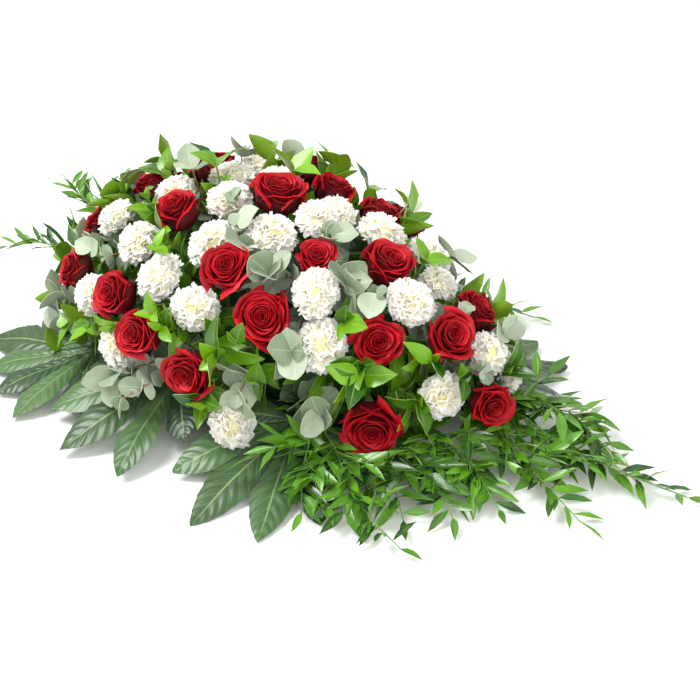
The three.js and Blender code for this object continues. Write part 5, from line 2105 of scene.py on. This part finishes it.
@dataclass
class AraliaLeaf:
    """A large lobed leaf that lies on the low sheet, and its stalk."""

    name: str
    at: tuple[float, float]
    layer: int
    lobes: Sequence[tuple[float, float]]
    seed: int
    half_width: float = 24.0
    thickness: float = 0.7
    veins: int = 11
    vein_lean: float = 0.16
    quilt: float = 1.4
    tilt: float = 0.3
    teeth: int = 12
    tooth_depth: float = 0.07
    lowest: float = -1.2
    across: int = 9
    along: int = 45

    def lobe_grids(self) -> Array:
        """The lobes' grids.

        A lobe's half width grows from a narrow neck by a sine of a power of the way out, and
        stays inside the lobe's own sector, so that a notch is left between two lobes. Its outer
        two thirds are cut into teeth. Each half arches up from the midrib, dips at its side
        veins, and rolls gently. The grid's rows run out along those veins.

        Returns:
            Points of shape (lobes, across, along, 3).
        """
        rng = np.random.default_rng(self.seed)
        each = partial(rng.uniform, size=(len(self.lobes), 1, 1))
        heading = np.radians([lobe[0] for lobe in self.lobes])[:, None, None]
        length = np.array([lobe[1] for lobe in self.lobes], float)[:, None, None]
        row = np.linspace(0, 1, self.along)[None, None, :]
        u = np.linspace(1, -1, self.across)[None, :, None]
        off_rib = np.abs(u)
        ends = np.minimum(1, row / 0.2) * np.minimum(1, (1 - row) / 0.3)
        t = row + self.vein_lean * off_rib * ends
        out = length * t
        halves = np.diff([lobe[0] for lobe in self.lobes]) / 2
        after = np.append(halves, OUTER_SECTOR)[:, None, None]
        before = np.insert(halves, 0, OUTER_SECTOR)[:, None, None]
        sector = np.tan(np.radians(np.where(u > 0, after, before)))
        room = out * sector * np.interp(out, (LOBE_NOTCH, 80), (1.0, 0.92))
        body = np.sin(math.pi * t**1.35) ** 0.8
        share = np.maximum(np.nan_to_num(body), 0.02) + 0.24 * np.exp(-((t / 0.2) ** 2))
        saw = np.mod(t * self.teeth, 1.0)
        tooth = 1 + self.tooth_depth * (saw - 0.5) * np.clip((t - 0.3) * 6, 0, 1)
        widest = np.minimum(self.half_width * share, np.maximum(room, 0.6))
        half = widest * np.where(off_rib > 0.95, tooth, 1) * u
        bend = each(-0.03, 0.03) * t**2 * length
        sway = half + bend
        x = self.at[0] + out * np.cos(heading) - sway * np.sin(heading)
        y = self.at[1] + out * np.sin(heading) + sway * np.cos(heading)
        phase = each(0, PHASE_SPAN)
        ridge = 1.2 * (1 - off_rib) + 2.2 * np.sin(math.pi * off_rib**0.8)
        ridge = ridge * np.sin(math.pi * t) ** 0.6
        quilt = -self.quilt * np.cos(2 * math.pi * row * self.veins) * off_rib * (1 - off_rib) * 2
        roll = 2.4 * np.sin(2.2 * math.pi * t + phase) * u * np.clip(t * 1.5, 0, 1)
        droop = 1.4 * np.sin(math.pi * t + 0.7 * phase) * (1 - t)
        outer_side = -math.copysign(1, self.at[1]) * sway * np.cos(heading)
        tilted = self.tilt * (outer_side + widest) * np.sin(math.pi * np.clip(t, 0.02, 0.98)) ** 0.5
        lift = np.nan_to_num(ridge) + quilt + roll + droop + np.maximum(tilted, 0)
        return sheet_point(x, y, self.layer, np.maximum(lift, self.lowest))

    def build(self, palette: Palette) -> Piece:
        """Builds the lobes and the stalk.

        Args:
            palette: the finishes.

        Returns:
            The piece.
        """
        store = MeshStore()
        rng = np.random.default_rng(self.seed + 3)
        tints = rng.uniform(0, 1, len(self.lobes))
        store.add_sheets(self.lobe_grids(), self.thickness, 0, tints)
        bend, heart = stalk_top(self.at, self.layer)
        foot = vec(0.5 * self.at[0], 0.42 * self.at[1], 47)
        path = np.vstack([foot, foot + 0.5 * (bend - foot), bend, heart - vec(0, 0, 0.2)])
        store.add_tube(path, np.array([2.0, 2.0, 2.0, 1.6]), 7, 1)
        return store.write(self.name, [palette.aralia, palette.aralia_stem])


@dataclass
class Studio:
    """The pale floor, the soft lights and the camera at the picture's angle."""

    azimuth: float = 30.0
    elevation: float = 32.0
    distance: float = 2000.0
    aim_right: float = 96.0
    aim_up: float = 22.0
    lens: float = 85.7
    sensor: float = 36.0
    surround: float = 0.74
    floor_reach: float = 6.0
    lit_point: tuple[float, float, float] = (0.05, 0, 0.1)

    def build(self) -> None:
        """Builds the floor, the lights and the camera."""
        self._floor()
        self._world()
        self._light("key_light", place=(-0.7, -0.6, 1.7), size=0.9, watts=40)
        self._light("fill_light", place=(1.3, -1.0, 1.1), size=1.6, watts=19)
        self._camera()

    def _floor(self) -> None:
        """Lays a wide plain floor of matt white paper, as the stage."""
        mesh = bpy.data.meshes.new("floor")
        reach = self.floor_reach
        corners = [(-reach, -reach, 0), (reach, -reach, 0), (reach, reach, 0), (-reach, reach, 0)]
        mesh.from_pydata(corners, [], [(0, 1, 2, 3)])
        shader = Shader("floor_paper")
        mesh.materials.append(shader.finish(linear("f8f8f7"), Roughness=0.9, Specular_IOR_Level=0.1))
        floor = bpy.data.objects.new("floor", mesh)
        bpy.context.scene.collection.objects.link(floor)

    def _world(self) -> None:
        """Sets an even white surround."""
        world = bpy.data.worlds.new("surround")
        world.use_nodes = True
        background = world.node_tree.nodes["Background"]
        background.inputs[0].default_value = (1, 1, 1, 1)
        background.inputs[1].default_value = self.surround
        bpy.context.scene.world = world
        bpy.context.scene.view_settings.view_transform = "Standard"

    def _light(self, name: str, place: Sequence[float], size: float, watts: float) -> None:
        """Hangs an area light, turned to the arrangement.

        Args:
            name: the light's name.
            place: its place in metres.
            size: the side of its square in metres.
            watts: its power.
        """
        data = bpy.data.lights.new(name, "AREA")
        data.size = size
        data.energy = watts
        light = bpy.data.objects.new(name, data)
        light.location = place
        way = Vector(self.lit_point) - light.location
        light.rotation_euler = way.to_track_quat("-Z", "Y").to_euler()
        bpy.context.scene.collection.objects.link(light)

    def _camera(self) -> None:
        """Sets the camera, level, looking down at the arrangement."""
        az, el = math.radians(self.azimuth), math.radians(self.elevation)
        right = vec(math.cos(az), math.sin(az), 0)
        back = vec(math.sin(az) * math.cos(el), -math.cos(az) * math.cos(el), math.sin(el))
        up = np.cross(back, right)
        place = right * self.aim_right + up * self.aim_up + back * self.distance
        data = bpy.data.cameras.new("camera")
        data.lens = self.lens
        data.sensor_width = self.sensor
        data.clip_end = 20
        camera = bpy.data.objects.new("camera", data)
        camera.location = tuple(place * TO_METRES)
        camera.rotation_euler = Vector(tuple(back)).to_track_quat("Z", "Y").to_euler()
        bpy.context.scene.collection.objects.link(camera)
        bpy.context.scene.camera = camera


def stub_of(node: Piece) -> tuple[Array, Array]:
    """The foot and the fork of a branch, read from its solid.

    Well inside the foam a branch has only the corners of its rod's end. Their middle is the foot,
    and the normal of their plane is the way of the rod. The rod's far end, just past the fork, is
    the place along it where most corners at its own radius lie.

    Args:
        node: the branch's solid.

    Returns:
        The foot and the fork.
    """
    mesh = node.data
    flat = np.zeros(len(mesh.vertices) * 3)
    mesh.vertices.foreach_get("co", flat)
    points = np.unique(np.round(flat.reshape(-1, 3) / TO_METRES, 2), axis=0)
    well_inside, slack, from_foot, usual_reach = 4, 0.04, 8, 30.0
    ends = points[FOAM.holds(points, well_inside)]
    foot = ends.mean(axis=0)
    way = np.linalg.svd(ends - foot)[2][2]
    way = way * np.sign(way @ (points.mean(axis=0) - foot))
    along = (points - foot) @ way
    off_axis = np.linalg.norm(points - foot - along[:, None] * way, axis=1)
    on_rod = along[(np.abs(off_axis - STUB) < slack) & (along > from_foot)]
    places, counts = np.unique(np.round(on_rod, 1), return_counts=True)
    reach = float(places[np.argmax(counts)]) if len(places) else usual_reach
    return foot, foot + way * (reach - PAST_FORK)


# Roses from this one on stand on the far side and have fewer petals
FIRST_FAR_ROSE = 20
FAR_PETALS = 22

# The last trailing branch lies at the far left and the back, and has no side shoots
BARE_TRAILS = 3

# The first seed of each kind of piece
ROSE_SEED = 100
CARNATION_SEED = 200
ARALIA_SEED = 300
BRANCH_SEED = 400
TRAIL_SEED = 500


def main() -> None:
    """Builds every sub-assembly in order, dresses the tray and the foam, and sets up the studio."""
    logging.basicConfig(level=logging.INFO, format="%(message)s")
    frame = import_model()
    planting = Planting()
    palette = Palette()
    nodes = frame["nodes"]
    for k, head in enumerate(planting.roses):
        bloom = RoseBloom(numbered("rose_bloom", k), head, ROSE_SEED + k)
        if k >= FIRST_FAR_ROSE:
            bloom.petals = FAR_PETALS
        settle(bloom.build(palette), numbered("rose", k))
    for k, group in enumerate(planting.carnations):
        name = numbered("carnations", k)
        seed = CARNATION_SEED + k
        spray = CarnationSpray(numbered("carnation_spray", k), group, *stub_of(nodes[name]), seed)
        settle(spray.build(palette), name)
    for k, (at, layer, lobes) in enumerate(ARALIA):
        leaf = AraliaLeaf(numbered("aralia_leaf", k), at, layer, lobes, ARALIA_SEED + k)
        settle(leaf.build(palette), numbered("aralia", k))
    for kind_name, plan in (("eucalyptus", EUCALYPTUS), ("broad_ruscus", BROAD_RUSCUS)):
        for k in range(len(plan)):
            name = numbered(kind_name, k)
            branch = LeafyBranch(
                numbered(kind_name + "_branch", k), name, *stub_of(nodes[name]), planting,
                BRANCH_SEED + k, kind_name, planting.branches[name],
            )  # fmt: skip
            settle(branch.build(palette), name)
    for k in range(len(ITALIAN_RUSCUS)):
        name = numbered("italian_ruscus", k)
        branch = TrailingBranch(
            numbered("italian_ruscus_branch", k), name, *stub_of(nodes[name]), planting,
            TRAIL_SEED + k, planting.trails[name],
        )  # fmt: skip
        if k == BARE_TRAILS:
            branch.shoots_until = 0
        settle(branch.build(palette), name)
    for name, material in (("tray", palette.tray), ("foam", palette.foam)):
        nodes[name].data.materials.clear()
        nodes[name].data.materials.append(material)
    Studio().build()


if __name__ == "__main__":
    main()
